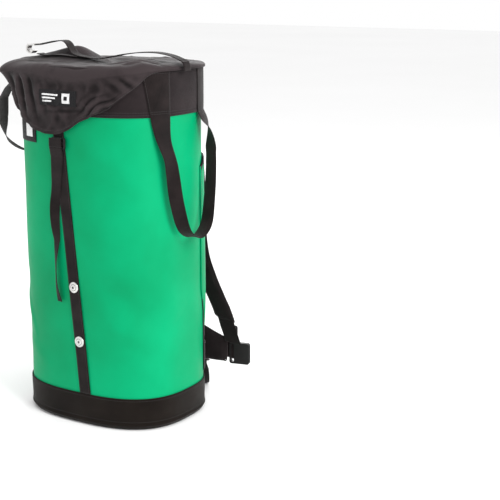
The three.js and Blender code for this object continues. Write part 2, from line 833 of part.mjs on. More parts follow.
add('base_cap', makeBaseCap(), colours.black, 0.7);
add('floor_layer', makeFloorLayer(), colours.green, 0.5);
add('body_shell', makeBodyShell(), colours.green, 0.45);
add('collar_band', makeCollar(), colours.nylon, 0.8);
add('front_strap', makeFrontStrap(), colours.webbing, 0.85);
add('side_strap', makeSideStrap(), colours.webbing, 0.85);
for (const [name, z] of Object.entries(rivetHeights)) {
  add(name, makeRivet(z), colours.steel, 0.3, 0.9);
  add(`${name}_washer`, makeRivetWasher(z), colours.steel, 0.4, 0.9);
}
for (const [name, side] of [['left', -1], ['right', 1]]) {
  add(`gusset_${name}`, makeGusset(side), colours.nylon, 0.85);
  add(`anchor_patch_${name}`, makeAnchorPatch(side), colours.nylon, 0.85);
  add(`anchor_webbing_${name}`, makeAnchorWebbing(side), colours.webbing, 0.85);
  add(`adjuster_${name}`, makeAdjuster(side), colours.plastic, 0.4);
  add(`shoulder_pad_${name}`, makeShoulderPad(name, side), colours.foam, 0.9);
  add(`shoulder_webbing_${name}`, makeShoulderWebbing(name, side), colours.webbing, 0.85);
  add(`ladder_lock_${name}`, makeLadderLock(name, side), colours.plastic, 0.4);
  add(`lower_webbing_${name}`, makeLowerWebbing(name, side), colours.webbing, 0.85);
  add(`lower_buckle_${name}`, makeLowerBuckle(name, side), colours.plastic, 0.4);
  add(`hip_wing_${name}`, makeHipWing(name), colours.foam, 0.9);
  add(`hip_webbing_${name}`, makeHipWebbing(name), colours.webbing, 0.85);
}
add('side_label', makeSideLabel(), colours.label, 0.6);
add('pocket_panel', makePocketPanel(), colours.green, 0.45);
add('pocket_lining', makePocketLining(), colours.blue, 0.5);
add('lumbar_panel', makeLumbarPanel(), colours.foam, 0.9);
add('belt_sleeve', makeBeltSleeve(), colours.nylon, 0.85);
for (const [name, side] of [['long', 1], ['short', -1]]) {
  add(`haul_leg_${name}_front`, makeHaulLeg(side, -1), colours.webbing, 0.85);
  add(`haul_leg_${name}_back`, makeHaulLeg(side, 1), colours.webbing, 0.85);
}
add('haul_loop_long', makeHaulLoop({ side: 1, foot: 372, stand: 26 }), colours.webbing, 0.85);
add('haul_loop_short', makeHaulLoop({ side: -1, foot: 512, stand: 24 }), colours.webbing, 0.85);
add('lid_flap', makeLidFlap(), colours.nylon, 0.8);
add('lid_label', makeLidLabel(), colours.label, 0.6);
add('closure_buckle', makeClosureBuckle(), colours.plastic, 0.4);
add('closure_tail', makeClosureTail(), colours.webbing, 0.85);
add('top_strap', makeTopStrap(), colours.webbing, 0.85);
add('top_hook', makeTopHook(), colours.steel, 0.3, 0.9);
add('hip_buckle_male', makeHipBuckleMale(), colours.plastic, 0.4);
add('hip_buckle_female', makeHipBuckleFemale(), colours.plastic, 0.4);
add('hip_tail_left', makeTail('hip_tail_left', 25), colours.webbing, 0.85);
add('hip_tail_right', makeTail('hip_tail_right', 25), colours.webbing, 0.85);
add('shoulder_tail', makeTail('shoulder_tail', 38), colours.webbing, 0.85);

export default bag;
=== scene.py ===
import math

import bmesh
import bpy
import numpy as np
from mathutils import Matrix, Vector, noise


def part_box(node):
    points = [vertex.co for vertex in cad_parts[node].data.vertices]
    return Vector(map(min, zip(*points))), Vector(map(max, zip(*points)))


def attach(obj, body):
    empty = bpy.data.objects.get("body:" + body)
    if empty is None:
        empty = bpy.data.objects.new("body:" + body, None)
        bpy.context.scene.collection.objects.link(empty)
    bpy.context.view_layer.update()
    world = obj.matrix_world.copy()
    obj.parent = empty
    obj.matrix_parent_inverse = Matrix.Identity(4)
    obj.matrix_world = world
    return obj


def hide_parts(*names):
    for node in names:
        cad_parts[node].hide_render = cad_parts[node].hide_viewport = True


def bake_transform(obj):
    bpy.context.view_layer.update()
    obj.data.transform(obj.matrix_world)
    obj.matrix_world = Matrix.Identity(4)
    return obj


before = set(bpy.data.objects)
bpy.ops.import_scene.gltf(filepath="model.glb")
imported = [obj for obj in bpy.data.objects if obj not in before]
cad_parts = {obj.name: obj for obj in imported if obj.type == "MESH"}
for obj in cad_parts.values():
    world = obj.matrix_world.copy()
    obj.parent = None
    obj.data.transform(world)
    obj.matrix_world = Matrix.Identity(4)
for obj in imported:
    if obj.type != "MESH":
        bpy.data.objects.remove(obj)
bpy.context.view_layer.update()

# The bag stands on its base at the origin, +Z up, front towards -Y, harness on +Y. Metres.

# ---------------------------------------------------------------------------------------------
# Driving sizes, read from the frame where it holds them.
# ---------------------------------------------------------------------------------------------

SHELL_LOW, SHELL_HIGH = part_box("body_shell")
HALF_WIDTH = SHELL_HIGH[0]
HALF_DEPTH = SHELL_HIGH[1]
SQUARENESS = 2.7
BASE_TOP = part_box("base_cap")[1][2]
COLLAR_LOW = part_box("collar_band")[0][2]
MM = 0.001
WEBBING = 1.8 * MM

SIDE_STRAP_GIRTH = 0.296
SIDE_STRAP_WIDTH = 0.038
FRONT_STRAP_WIDTH = 0.026
FRONT_STRAP_TOP = -0.024
FRONT_STRAP_FOOT = 0.025
HARNESS_SPACING = 0.070
HANG_BAR = 0.012
HANG_HEIGHT = 0.580
ADJUSTER_SIZE = 0.044
ADJUSTER_BAR = 0.005
FOLD_RADIUS = 0.0047
PAD_THICKNESS = 0.010

# ---------------------------------------------------------------------------------------------
# The oval and its skin.
# ---------------------------------------------------------------------------------------------


def measure_oval(steps=7200):
    """Distances walked round the oval from the front centre towards +X, with the places there."""
    angle = np.linspace(-math.pi / 2, 1.5 * math.pi, steps + 1)
    power = 2 / SQUARENESS
    x = HALF_WIDTH * np.sign(np.cos(angle)) * np.abs(np.cos(angle)) ** power
    y = HALF_DEPTH * np.sign(np.sin(angle)) * np.abs(np.sin(angle)) ** power
    walked = np.concatenate([[0], np.cumsum(np.hypot(np.diff(x), np.diff(y)))])
    return walked, x, y


OVAL_WALKED, OVAL_X, OVAL_Y = measure_oval()
GIRTH = OVAL_WALKED[-1]
BACK = GIRTH / 2


def oval(distance):
    wanted = np.mod(distance, GIRTH)
    return np.interp(wanted, OVAL_WALKED, OVAL_X), np.interp(wanted, OVAL_WALKED, OVAL_Y)


def skin(distance, z, off):
    """Points on the skin: distance round it, height, and height off it. Takes arrays."""
    distance, z, off = np.broadcast_arrays(
        np.asarray(distance, float), np.asarray(z, float), np.asarray(off, float))
    x, y = oval(distance)
    x0, y0 = oval(distance - 0.004)
    x1, y1 = oval(distance + 0.004)
    length = np.hypot(x1 - x0, y1 - y0)
    return np.stack([x + (y1 - y0) / length * off, y - (x1 - x0) / length * off, z], axis=-1)


def skin_axes(distance):
    """The directions along the girth and outwards at one place."""
    x0, y0 = oval(distance - 0.004)
    x1, y1 = oval(distance + 0.004)
    along = Vector((x1 - x0, y1 - y0, 0)).normalized()
    return along, Vector((along.y, -along.x, 0))


def smoothstep(value, low, high):
    share = np.clip((value - low) / (high - low), 0, 1)
    return share * share * (3 - 2 * share)


def lerp(a, b, share):
    return a + (b - a) * share


def soft_noise(points, scale, depth=2, offset=0.0):
    """Smooth noise from -1 to 1 at each point, the same on every run."""
    flat = np.asarray(points).reshape(-1, 3) * scale + offset
    values = [noise.fractal(Vector(p), 1.0, 2.0, depth) for p in flat]
    return np.array(values).reshape(np.asarray(points).shape[:-1])


# ---------------------------------------------------------------------------------------------
# Mesh helpers.
# ---------------------------------------------------------------------------------------------


def new_object(name, points, faces, uvs=None, smooth=True):
    mesh = bpy.data.meshes.new(name)
    mesh.from_pydata([tuple(p) for p in points], [], faces)
    if uvs is not None:
        layer = mesh.uv_layers.new(name="weave")
        corner_points = np.empty(len(mesh.loops), dtype=np.int32)
        mesh.loops.foreach_get("vertex_index", corner_points)
        layer.data.foreach_set("uv", np.asarray(uvs, dtype=np.float32)[corner_points].ravel())
    work = bmesh.new()
    work.from_mesh(mesh)
    bmesh.ops.recalc_face_normals(work, faces=work.faces)
    work.to_mesh(mesh)
    work.free()
    mesh.polygons.foreach_set("use_smooth", [smooth] * len(mesh.polygons))
    obj = bpy.data.objects.new(name, mesh)
    bpy.context.scene.collection.objects.link(obj)
    return obj


def grid_faces(rows, columns, start=0, loop=False):
    faces = []
    last = columns if loop else columns - 1
    for j in range(rows - 1):
        for i in range(last):
            a = start + j * columns + i
            b = start + j * columns + (i + 1) % columns
            faces.append((a, b, b + columns, a + columns))
    return faces


def skin_solid(name, outer, inner, loop=False, uvs=None):
    """A closed sheet between two grids of points of the same shape."""
    rows, columns = outer.shape[:2]
    count = rows * columns
    points = np.concatenate([outer.reshape(-1, 3), inner.reshape(-1, 3)])
    faces = grid_faces(rows, columns, 0, loop) + grid_faces(rows, columns, count, loop)
    edges = [[(j * columns + i) for i in range(columns)] for j in (0, rows - 1)]
    if not loop:
        edges += [[j * columns + i for j in range(rows)] for i in (0, columns - 1)]
    for edge in edges:
        pairs = list(zip(edge, edge[1:]))
        if loop:
            pairs.append((edge[-1], edge[0]))
        faces += [(a, b, b + count, a + count) for a, b in pairs]
    if uvs is not None:
        uvs = np.concatenate([uvs.reshape(-1, 2)] * 2)
    return new_object(name, points, faces, uvs)


def tube(name, sections, uvs=None, closed=False):
    """A solid through closed sections, given as rows by points by 3, with its ends capped."""
    rows, columns = sections.shape[:2]
    faces = grid_faces(rows, columns, 0, True)
    if closed:
        for i in range(columns):
            k = (i + 1) % columns
            base = (rows - 1) * columns
            faces.append((base + i, base + k, k, i))
    else:
        faces.append(tuple(range(columns)))
        faces.append(tuple(range((rows - 1) * columns, rows * columns)))
    flat_uvs = None if uvs is None else uvs.reshape(-1, 2)
    return new_object(name, sections.reshape(-1, 3), faces, flat_uvs)


def strap_section(steps=10):
    """A strap's cross-section: places across from -1 to 1, and heights from -1 to 1."""
    across = np.cos(np.linspace(math.pi, 0, steps + 1))
    height = np.clip((1 - np.abs(across) ** 14), 0, 1) ** 0.5
    height = np.maximum(height, 0.35)
    top = np.stack([across, height], axis=1)
    bottom = np.stack([across[::-1], -height[::-1]], axis=1)
    return np.concatenate([top, bottom])


def lengths_along(centres):
    steps = np.linalg.norm(np.diff(centres, axis=0), axis=1)
    return np.concatenate([[0], np.cumsum(steps)])


def ribbon(name, centre, side, normal, width, thickness=WEBBING, steps=10):
    """A strap along centre points, with its width direction and its face direction at each."""
    section = strap_section(steps)
    width = np.broadcast_to(np.asarray(width, float), (len(centre),))
    points = (centre[:, None, :]
              + side[:, None, :] * (section[None, :, 0:1] * width[:, None, None] / 2)
              + normal[:, None, :] * (section[None, :, 1:2] * thickness / 2))
    run = lengths_along(centre)
    uvs = np.stack(np.broadcast_arrays(
        section[None, :, 0] * width[:, None] / 2, run[:, None]), axis=-1)
    return tube(name, points, uvs)


def skin_ribbon(name, distance, z, off, width, thickness=WEBBING, steps=10, lean=0.0):
    """A strap lying on the skin along heights z, at a distance round it and a height off it."""
    section = strap_section(steps)
    z = np.asarray(z, float)
    distance = np.broadcast_to(np.asarray(distance, float), z.shape)
    off = np.broadcast_to(np.asarray(off, float), z.shape)
    width = np.broadcast_to(np.asarray(width, float), z.shape)
    across = section[None, :, 0] * width[:, None] / 2
    heights = off[:, None] + section[None, :, 1] * thickness / 2 + across * lean
    points = skin(distance[:, None] + across, z[:, None], heights)
    run = lengths_along(skin(distance, z, off))
    uvs = np.stack(np.broadcast_arrays(across, run[:, None]), axis=-1)
    return tube(name, points, uvs)


def catmull(points, count, power=1.0):
    """A smooth run of evenly spaced points through the given ones; power crowds the start."""
    stops = np.asarray(points, float)
    padded = np.concatenate([[2 * stops[0] - stops[1]], stops, [2 * stops[-1] - stops[-2]]])
    fine = []
    for i in range(len(stops) - 1):
        p0, p1, p2, p3 = padded[i:i + 4]
        t1 = max(np.linalg.norm(p1 - p0), 1e-9) ** 0.5
        t2 = t1 + max(np.linalg.norm(p2 - p1), 1e-9) ** 0.5
        t3 = t2 + max(np.linalg.norm(p3 - p2), 1e-9) ** 0.5
        for t in np.linspace(t1, t2, 25)[:-1]:
            a1 = p0 + (p1 - p0) * (t / t1)
            a2 = p1 + (p2 - p1) * ((t - t1) / (t2 - t1))
            a3 = p2 + (p3 - p2) * ((t - t2) / (t3 - t2))
            b1 = a1 + (a2 - a1) * (t / t2)
            b2 = a2 + (a3 - a2) * ((t - t1) / (t3 - t1))
            fine.append(b1 + (b2 - b1) * ((t - t1) / (t2 - t1)))
    fine = np.array(fine + [stops[-1]])
    run = lengths_along(fine)
    wanted = np.linspace(0, 1, count) ** power * run[-1]
    return np.stack([np.interp(wanted, run, fine[:, k]) for k in range(3)], axis=1)


def unit(vectors):
    return vectors / np.maximum(np.linalg.norm(vectors, axis=-1, keepdims=True), 1e-12)


def tangents(centre):
    return unit(np.gradient(centre, axis=0))


def bevel(obj, width, segments=2, angle=35):
    modifier = obj.modifiers.new("soft_edges", "BEVEL")
    modifier.width = width
    modifier.segments = segments
    modifier.limit_method = "ANGLE"
    modifier.angle_limit = math.radians(angle)
    modifier.harden_normals = False
    return modifier


def finish_piece(obj, body, slot, material, *nodes):
    obj.data.materials.clear()
    obj.data.materials.append(material)
    if body:
        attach(obj, body)
    if nodes:
        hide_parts(*nodes)
    return obj


# ---------------------------------------------------------------------------------------------
# Materials.
# ---------------------------------------------------------------------------------------------


def start_material(name, colour, roughness, metallic=0.0, specular=0.5):
    material = bpy.data.materials.new(name)
    material.use_nodes = True
    shader = material.node_tree.nodes["Principled BSDF"]
    shader.inputs["Base Color"].default_value = (*colour, 1)
    shader.inputs["Roughness"].default_value = roughness
    shader.inputs["Metallic"].default_value = metallic
    shader.inputs["Specular IOR Level"].default_value = specular
    return material, shader


def add_node(material, kind, **values):
    made = material.node_tree.nodes.new(kind)
    for key, value in values.items():
        if key in made.inputs:
            made.inputs[key].default_value = value
        else:
            setattr(made, key, value)
    return made


def connect(material, source, target):
    material.node_tree.links.new(source, target)


def noise_texture(material, scale, detail=3.0, roughness=0.5):
    place = add_node(material, "ShaderNodeTexCoord")
    texture = add_node(material, "ShaderNodeTexNoise")
    texture.inputs["Scale"].default_value = scale
    texture.inputs["Detail"].default_value = detail
    texture.inputs["Roughness"].default_value = roughness
    connect(material, place.outputs["Object"], texture.inputs["Vector"])
    return texture.outputs["Fac"]


def ramp(material, factor, low, high, low_at=0.3, high_at=0.7):
    node = add_node(material, "ShaderNodeValToRGB")
    node.color_ramp.elements[0].position = low_at
    node.color_ramp.elements[0].color = (*low, 1)
    node.color_ramp.elements[1].position = high_at
    node.color_ramp.elements[1].color = (*high, 1)
    connect(material, factor, node.inputs["Fac"])
    return node.outputs["Color"]


def spread(material, factor, low, high):
    node = add_node(material, "ShaderNodeMapRange")
    node.inputs["To Min"].default_value = low
    node.inputs["To Max"].default_value = high
    connect(material, factor, node.inputs["Value"])
    return node.outputs["Result"]


def maths(material, operation, a, b=None):
    node = add_node(material, "ShaderNodeMath", operation=operation)
    for slot, value in enumerate((a, b)):
        if value is None:
            continue
        if isinstance(value, (int, float)):
            node.inputs[slot].default_value = value
        else:
            connect(material, value, node.inputs[slot])
    return node.outputs["Value"]


def bump(material, shader, height, strength, distance, under=None):
    node = add_node(material, "ShaderNodeBump")
    node.inputs["Strength"].default_value = strength
    node.inputs["Distance"].default_value = distance
    connect(material, height, node.inputs["Height"])
    if under is not None:
        connect(material, under, node.inputs["Normal"])
    connect(material, node.outputs["Normal"], shader.inputs["Normal"])
    return node.outputs["Normal"]


def coated_cloth(name, dark, light, roughness):
    """Vinyl coated cloth: smooth and semi-gloss, with the base cloth's grid faint under it."""
    material, shader = start_material(name, light, roughness, specular=0.06)
    tone = noise_texture(material, 5.0, 4.0)
    connect(material, ramp(material, tone, dark, light), shader.inputs["Base Color"])
    scuffs = noise_texture(material, 34.0, 6.0, 0.65)
    rough = spread(material, scuffs, roughness - 0.07, roughness + 0.12)
    connect(material, rough, shader.inputs["Roughness"])
    shader.inputs["Coat Weight"].default_value = 0.03
    shader.inputs["Coat Roughness"].default_value = 0.3
    grid = cloth_grid(material, 1.4 * MM)
    waves = bump(material, shader, noise_texture(material, 11.0, 3.0), 0.10, 0.01)
    bump(material, shader, grid, 0.10, 0.0002, waves)
    return material


def cloth_grid(material, pitch):
    """A plain weave in object space: threads along Z cross threads that run round the piece."""
    place = add_node(material, "ShaderNodeTexCoord")
    split = add_node(material, "ShaderNodeSeparateXYZ")
    connect(material, place.outputs["Object"], split.inputs["Vector"])
    turns = 2 * math.pi / pitch
    level = maths(material, "SINE", maths(material, "MULTIPLY", split.outputs["Z"], turns))
    flat = maths(material, "ADD", split.outputs["X"], split.outputs["Y"])
    round_it = maths(material, "SINE", maths(material, "MULTIPLY", flat, turns))
    return maths(material, "MULTIPLY", level, round_it)


def woven_nylon(name, dark, light, roughness=0.72, pitch=1.1 * MM, weave=0.35, folded=0.0):
    material, shader = start_material(name, light, roughness, specular=0.06)
    tone = noise_texture(material, 14.0, 5.0, 0.6)
    # Painted shade and highlight: the fold attribute darkens creases and lightens ridges in the base
    # colour, by the gain folded.
    if folded:
        fold = add_node(material, "ShaderNodeAttribute", attribute_name="fold")
        lift = maths(material, "MULTIPLY", fold.outputs["Fac"], folded)
        tone = maths(material, "ADD", tone, lift)
    connect(material, ramp(material, tone, dark, light), shader.inputs["Base Color"])
    rough = spread(material, noise_texture(material, 60.0, 4.0), roughness - 0.08, roughness + 0.1)
    connect(material, rough, shader.inputs["Roughness"])
    shader.inputs["Sheen Weight"].default_value = 0.12
    shader.inputs["Sheen Roughness"].default_value = 0.4
    folds = bump(material, shader, noise_texture(material, 26.0, 4.0, 0.6), 0.22, 0.004)
    bump(material, shader, cloth_grid(material, pitch), weave, 0.0004, folds)
    return material


def ribbed_webbing(name, dark, light):
    """Flat webbing: fine ribs across its length, and yarns along it. Uses the strap's own map."""
    material, shader = start_material(name, light, 0.62, specular=0.06)
    place = add_node(material, "ShaderNodeUVMap", uv_map="weave")
    split = add_node(material, "ShaderNodeSeparateXYZ")
    connect(material, place.outputs["UV"], split.inputs["Vector"])
    ribs = maths(material, "SINE", maths(material, "MULTIPLY", split.outputs["Y"], 4200.0))
    yarns = maths(material, "SINE", maths(material, "MULTIPLY", split.outputs["X"], 2900.0))
    weave = maths(material, "ADD", maths(material, "MULTIPLY", ribs, 0.6), yarns)
    fine_yarns = maths(material, "MULTIPLY", yarns, 0.06)
    tone = maths(material, "ADD", noise_texture(material, 30.0, 4.0), fine_yarns)
    connect(material, ramp(material, tone, dark, light), shader.inputs["Base Color"])
    rough = spread(material, noise_texture(material, 80.0), 0.52, 0.72)
    connect(material, rough, shader.inputs["Roughness"])
    shader.inputs["Sheen Weight"].default_value = 0.1
    bump(material, shader, weave, 0.45, 0.0003)
    return material


def moulded_plastic(name, colour):
    material, shader = start_material(name, colour, 0.42, specular=0.25)
    tone = noise_texture(material, 40.0, 3.0)
    lighter = tuple(c * 1.5 for c in colour)
    connect(material, ramp(material, tone, colour, lighter), shader.inputs["Base Color"])
    rough = spread(material, noise_texture(material, 220.0, 4.0), 0.34, 0.52)
    connect(material, rough, shader.inputs["Roughness"])
    bump(material, shader, noise_texture(material, 1400.0, 2.0), 0.12, 0.0002)
    return material


def satin_steel(name, colour):
    material, shader = start_material(name, colour, 0.28, metallic=1.0)
    scratches = noise_texture(material, 300.0, 6.0, 0.7)
    rough = spread(material, scratches, 0.2, 0.42)
    connect(material, rough, shader.inputs["Roughness"])
    darker = tuple(c * 0.8 for c in colour)
    tone = ramp(material, noise_texture(material, 90.0, 3.0), darker, colour)
    connect(material, tone, shader.inputs["Base Color"])
    bump(material, shader, scratches, 0.05, 0.0002)
    return material


def plain_thread(name, colour):
    material, shader = start_material(name, colour, 0.6)
    darker = tuple(c * 0.75 for c in colour)
    tone = ramp(material, noise_texture(material, 400.0, 2.0), darker, colour)
    connect(material, tone, shader.inputs["Base Color"])
    bump(material, shader, noise_texture(material, 2500.0, 2.0), 0.3, 0.0003)
    return material


GREEN = coated_cloth("green_vinyl", (0.0, 0.245, 0.092), (0.0, 0.352, 0.147), 0.42)
BLUE = coated_cloth("blue_vinyl", (0.015, 0.12, 0.48), (0.02, 0.16, 0.60), 0.45)
NYLON = woven_nylon("black_nylon", (0.010, 0.0072, 0.0078), (0.024, 0.018, 0.019))
# lid_nylon: its wide dark-to-light range carries painted shade in the creases and painted highlight on the
# ridges.
LID_CLOTH = woven_nylon("lid_nylon", (0.007, 0.0053, 0.0056), (0.036, 0.0275, 0.0290), 0.6, 0.9 * MM, 0.2,
                        folded=0.22)
BASE_CLOTH = woven_nylon("base_nylon", (0.006, 0.0042, 0.0034), (0.013, 0.0095, 0.0078), 0.78)
PAD_CLOTH = woven_nylon("pad_mesh", (0.007, 0.0052, 0.0054), (0.017, 0.013, 0.0135), 0.85, 2.2 * MM, 0.6)
BLACK_WEBBING = ribbed_webbing("black_webbing", (0.0055, 0.0036, 0.0036), (0.015, 0.0100, 0.0100))
PLASTIC = moulded_plastic("black_plastic", (0.007, 0.0065, 0.0065))
STEEL = satin_steel("steel", (0.78, 0.77, 0.75))
GREY_THREAD = plain_thread("grey_thread", (0.42, 0.40, 0.39))
DARK_THREAD = plain_thread("dark_thread", (0.03, 0.027, 0.028))
LABEL_BLACK = woven_nylon("label_weave", (0.008, 0.008, 0.009), (0.014, 0.013, 0.014), 0.5, 0.6 * MM, 0.3)
LABEL_WHITE = plain_thread("label_white", (0.82, 0.82, 0.82))

# ---------------------------------------------------------------------------------------------
# Camera, floor and light.
# ---------------------------------------------------------------------------------------------

# The camera looks from this side of the bag, turned to its right so that the bag stands left.
CAMERA_AZIMUTH = 38.5
CAMERA_TURN = 6.51
CAMERA_DISTANCE = 2.4
CAMERA_HEIGHT = 0.878
CAMERA_PITCH = 13.07
CAMERA_LENS = 87.34


def make_camera():
    azimuth = math.radians(CAMERA_AZIMUTH)
    pitch = math.radians(CAMERA_PITCH)
    place = Vector((CAMERA_DISTANCE * math.sin(azimuth), -CAMERA_DISTANCE * math.cos(azimuth),
                    CAMERA_HEIGHT))
    heading = azimuth - math.radians(CAMERA_TURN)
    forward = Vector((-math.sin(heading) * math.cos(pitch), math.cos(heading) * math.cos(pitch),
                      -math.sin(pitch)))
    data = bpy.data.cameras.new("camera")
    data.lens = CAMERA_LENS
    data.sensor_width = 36
    camera = bpy.data.objects.new("camera", data)
    camera.location = place
    camera.rotation_euler = forward.to_track_quat("-Z", "Y").to_euler()
    bpy.context.scene.collection.objects.link(camera)
    bpy.context.scene.camera = camera


def make_floor():
    bpy.ops.mesh.primitive_plane_add(size=30)
    floor = bpy.context.object
    floor.name = "floor"
    material, shader = start_material("floor_paper", (0.985, 0.985, 0.985), 0.9, specular=0.1)
    tone = ramp(material, noise_texture(material, 0.6), (0.92, 0.92, 0.92), (0.94, 0.94, 0.94))
    connect(material, tone, shader.inputs["Base Color"])
    floor.data.materials.append(material)


def area_light(name, place, aim, size, power):
    data = bpy.data.lights.new(name, "AREA")
    data.shape = "RECTANGLE"
    data.size = size[0]
    data.size_y = size[1]
    data.energy = power
    light = bpy.data.objects.new(name, data)
    light.location = place
    direction = Vector(aim) - Vector(place)
    light.rotation_euler = direction.to_track_quat("-Z", "Y").to_euler()
    bpy.context.scene.collection.objects.link(light)


def make_lights():
    world = bpy.data.worlds.new("studio")
    bpy.context.scene.world = world
    world.use_nodes = True
    background = world.node_tree.nodes["Background"]
    background.inputs["Color"].default_value = (1, 1, 1, 1)
    background.inputs["Strength"].default_value = 1.0
    area_light("key", (3.2, -0.9, 2.2), (0, 0, 0.4), (1.6, 2.2), 120)
    area_light("fill", (-2.6, -2.8, 1.8), (0, 0, 0.4), (1.8, 2.2), 4)
    area_light("back", (-1.2, 3.2, 2.0), (0, 0, 0.4), (2.0, 2.0), 42)
    area_light("top", (0, 0, 3.4), (0, 0, 0), (2.4, 2.4), 14)
    bpy.context.scene.view_settings.view_transform = "Standard"


make_camera()
make_floor()
make_lights()

# ---------------------------------------------------------------------------------------------
# Stitching.
# ---------------------------------------------------------------------------------------------


def stitches(name, centre, normal, body, material=DARK_THREAD, length=3.0 * MM, space=1.8 * MM,
             thick=0.7 * MM, slot="black_webbing"):
    """A row of thread stitches along points, each a small rounded bar lying on the cloth."""
    run = lengths_along(centre)
    count = max(1, int(run[-1] / (length + space)))
    points = []
    faces = []
    ring = 6
    for k in range(count):
        start = (k + 0.5) * run[-1] / count - length / 2
        middle = np.array([np.interp(start + length / 2, run, centre[:, i]) for i in range(3)])
        a = np.array([np.interp(start, run, centre[:, i]) for i in range(3)])
        b = np.array([np.interp(start + length, run, centre[:, i]) for i in range(3)])
        n = np.array([np.interp(start + length / 2, run, normal[:, i]) for i in range(3)])
        along = unit(b - a)
        across = unit(np.cross(along, n))
        for share, grow in ((-0.5, 0.3), (-0.32, 1.0), (0.32, 1.0), (0.5, 0.3)):
            for i in range(ring):
                angle = 2 * math.pi * i / ring
                offset = (across * math.cos(angle) + n * math.sin(angle) * 0.7) * thick / 2 * grow
                points.append(middle + along * length * share + offset)
        first = len(points) - 4 * ring
        faces += grid_faces(4, ring, first, True)
        faces.append(tuple(first + i for i in range(ring)))
        faces.append(tuple(first + 3 * ring + i for i in range(ring)))
    obj = new_object(name, points, faces)
    return finish_piece(obj, body, slot, material)


def skin_stitches(name, distance, z, off, body, **options):
    centre = skin(distance, z, off)
    out = unit(skin(distance, z, np.asarray(off) + 0.01) - centre)
    return stitches(name, centre, out, body, **options)


# ---------------------------------------------------------------------------------------------
# The tube: shell, base and collar.
# ---------------------------------------------------------------------------------------------


def dents(distance, z):
    """How far the coated cloth stands in or out where it has been folded and handled."""
    around = np.mod(distance + BACK, GIRTH) - BACK
    places = skin(distance, z, 0.0)
    slow = soft_noise(places, 5.0, 2, 3.7) * 1.5 * MM
    panel = smoothstep(z, BASE_TOP, BASE_TOP + 0.07) * (1 - smoothstep(z, 0.55, COLLAR_LOW))
    creases = np.zeros_like(around)
    for s0, z0, s1, z1, wide, deep in CREASES:
        run = np.array([s1 - s0, z1 - z0])
        length = np.linalg.norm(run)
        share = ((around - s0) * run[0] + (z - z0) * run[1]) / length ** 2
        away = ((around - s0) * run[1] - (z - z0) * run[0]) / length
        fade = np.clip(1 - (2 * share - 1) ** 2, 0, 1)
        creases += deep * MM * fade * np.exp(-(away / wide) ** 2)
    strap_free = 1 - np.exp(-((around + SIDE_STRAP_GIRTH) / 0.034) ** 4)
    return panel * (slow * lerp(0.3, 1.0, strap_free) + creases * strap_free)


# Each crease runs from one place on the skin to another: distance round it and height.
CREASES = [
    (-0.175, 0.270, -0.110, 0.150, 0.009, 2.7), (-0.200, 0.200, -0.160, 0.300, 0.016, -3.1),
    (-0.160, 0.150, -0.060, 0.105, 0.020, 2.5), (0.060, 0.300, 0.190, 0.200, 0.022, -3.7),
    (0.080, 0.205, 0.150, 0.185, 0.016, 2.4), (0.150, 0.330, 0.240, 0.220, 0.026, 3.1),
    (0.120, 0.120, 0.230, 0.100, 0.024, 2.7), (0.210, 0.470, 0.260, 0.330, 0.02, -2.2),
    (0.050, 0.540, 0.130, 0.430, 0.028, -2.4), (-0.240, 0.430, -0.190, 0.330, 0.018, 2.5),
    (-0.330, 0.320, -0.260, 0.180, 0.02, 2.7), (-0.240, 0.210, -0.200, 0.120, 0.014, -2.4),
]


def make_shell():
    columns, rows = 300, 200
    around = np.linspace(0, GIRTH, columns, endpoint=False)
    height = np.linspace(SHELL_LOW[2], SHELL_HIGH[2], rows)
    s, z = np.meshgrid(around, height)
    off = dents(s, z)
    quiet = smoothstep(np.abs(np.mod(s, GIRTH) - BACK), 0.19, 0.22)
    off = off * quiet
    outer = skin(s, z, off)
    inner = skin(s, z, off - 2.2 * MM)
    shell = skin_solid("shell", outer, inner, loop=True)
    return finish_piece(shell, "bag", "green_vinyl", GREEN, "body_shell")


def make_base():
    """The base cap: a cup of heavy black cloth with a piped foot and a turned hem."""
    profile = [
        (-60, 0.3), (-14, 0.0), (-5, 0.4), (-1.2, 2.4), (1.1, 6.0), (2.6, 8.0), (3.6, 9.6), (3.4, 11.2),
        (2.3, 12.6), (2.2, 16.0), (2.5, 24.0), (2.8, 36.0), (2.9, 50.0), (2.8, 60.0), (3.0, 63.4),
        (2.6, 64.8), (1.6, 65.0), (0.7, 64.4), (0.5, 60.0), (0.4, 30.0), (0.4, 4.0), (-30, 3.4),
    ]
    columns = 260
    around = np.linspace(0, GIRTH, columns, endpoint=False)
    rows = []
    for off, z in profile:
        points = skin(around, z * MM, off * MM)
        if 10 < z < 62 and off > 1:
            ripple = soft_noise(skin(around, z * MM, 0.0), 13.0, 3, 9.0) * 0.9 * MM
            points = skin(around, z * MM, off * MM + ripple)
        rows.append(points)
    base = tube("base", np.stack(rows))
    finish_piece(base, "bag", "black_nylon", BASE_CLOTH, "base_cap")
    ring = np.linspace(0, GIRTH, 420)
    for index, z in enumerate((0.0605, 0.0175)):
        skin_stitches(f"base_stitches_{index}", ring, np.full_like(ring, z), 3.1 * MM, "bag",
                      slot="black_nylon")
    return base


def make_floor_layer():
    around = np.linspace(0, GIRTH, 160, endpoint=False)
    rows = [skin(around, 4.0 * MM, -2.8 * MM), skin(around, 6.0 * MM, -2.8 * MM)]
    layer = tube("inner_floor", np.stack(rows))
    return finish_piece(layer, "bag", "green_vinyl", GREEN, "floor_layer")


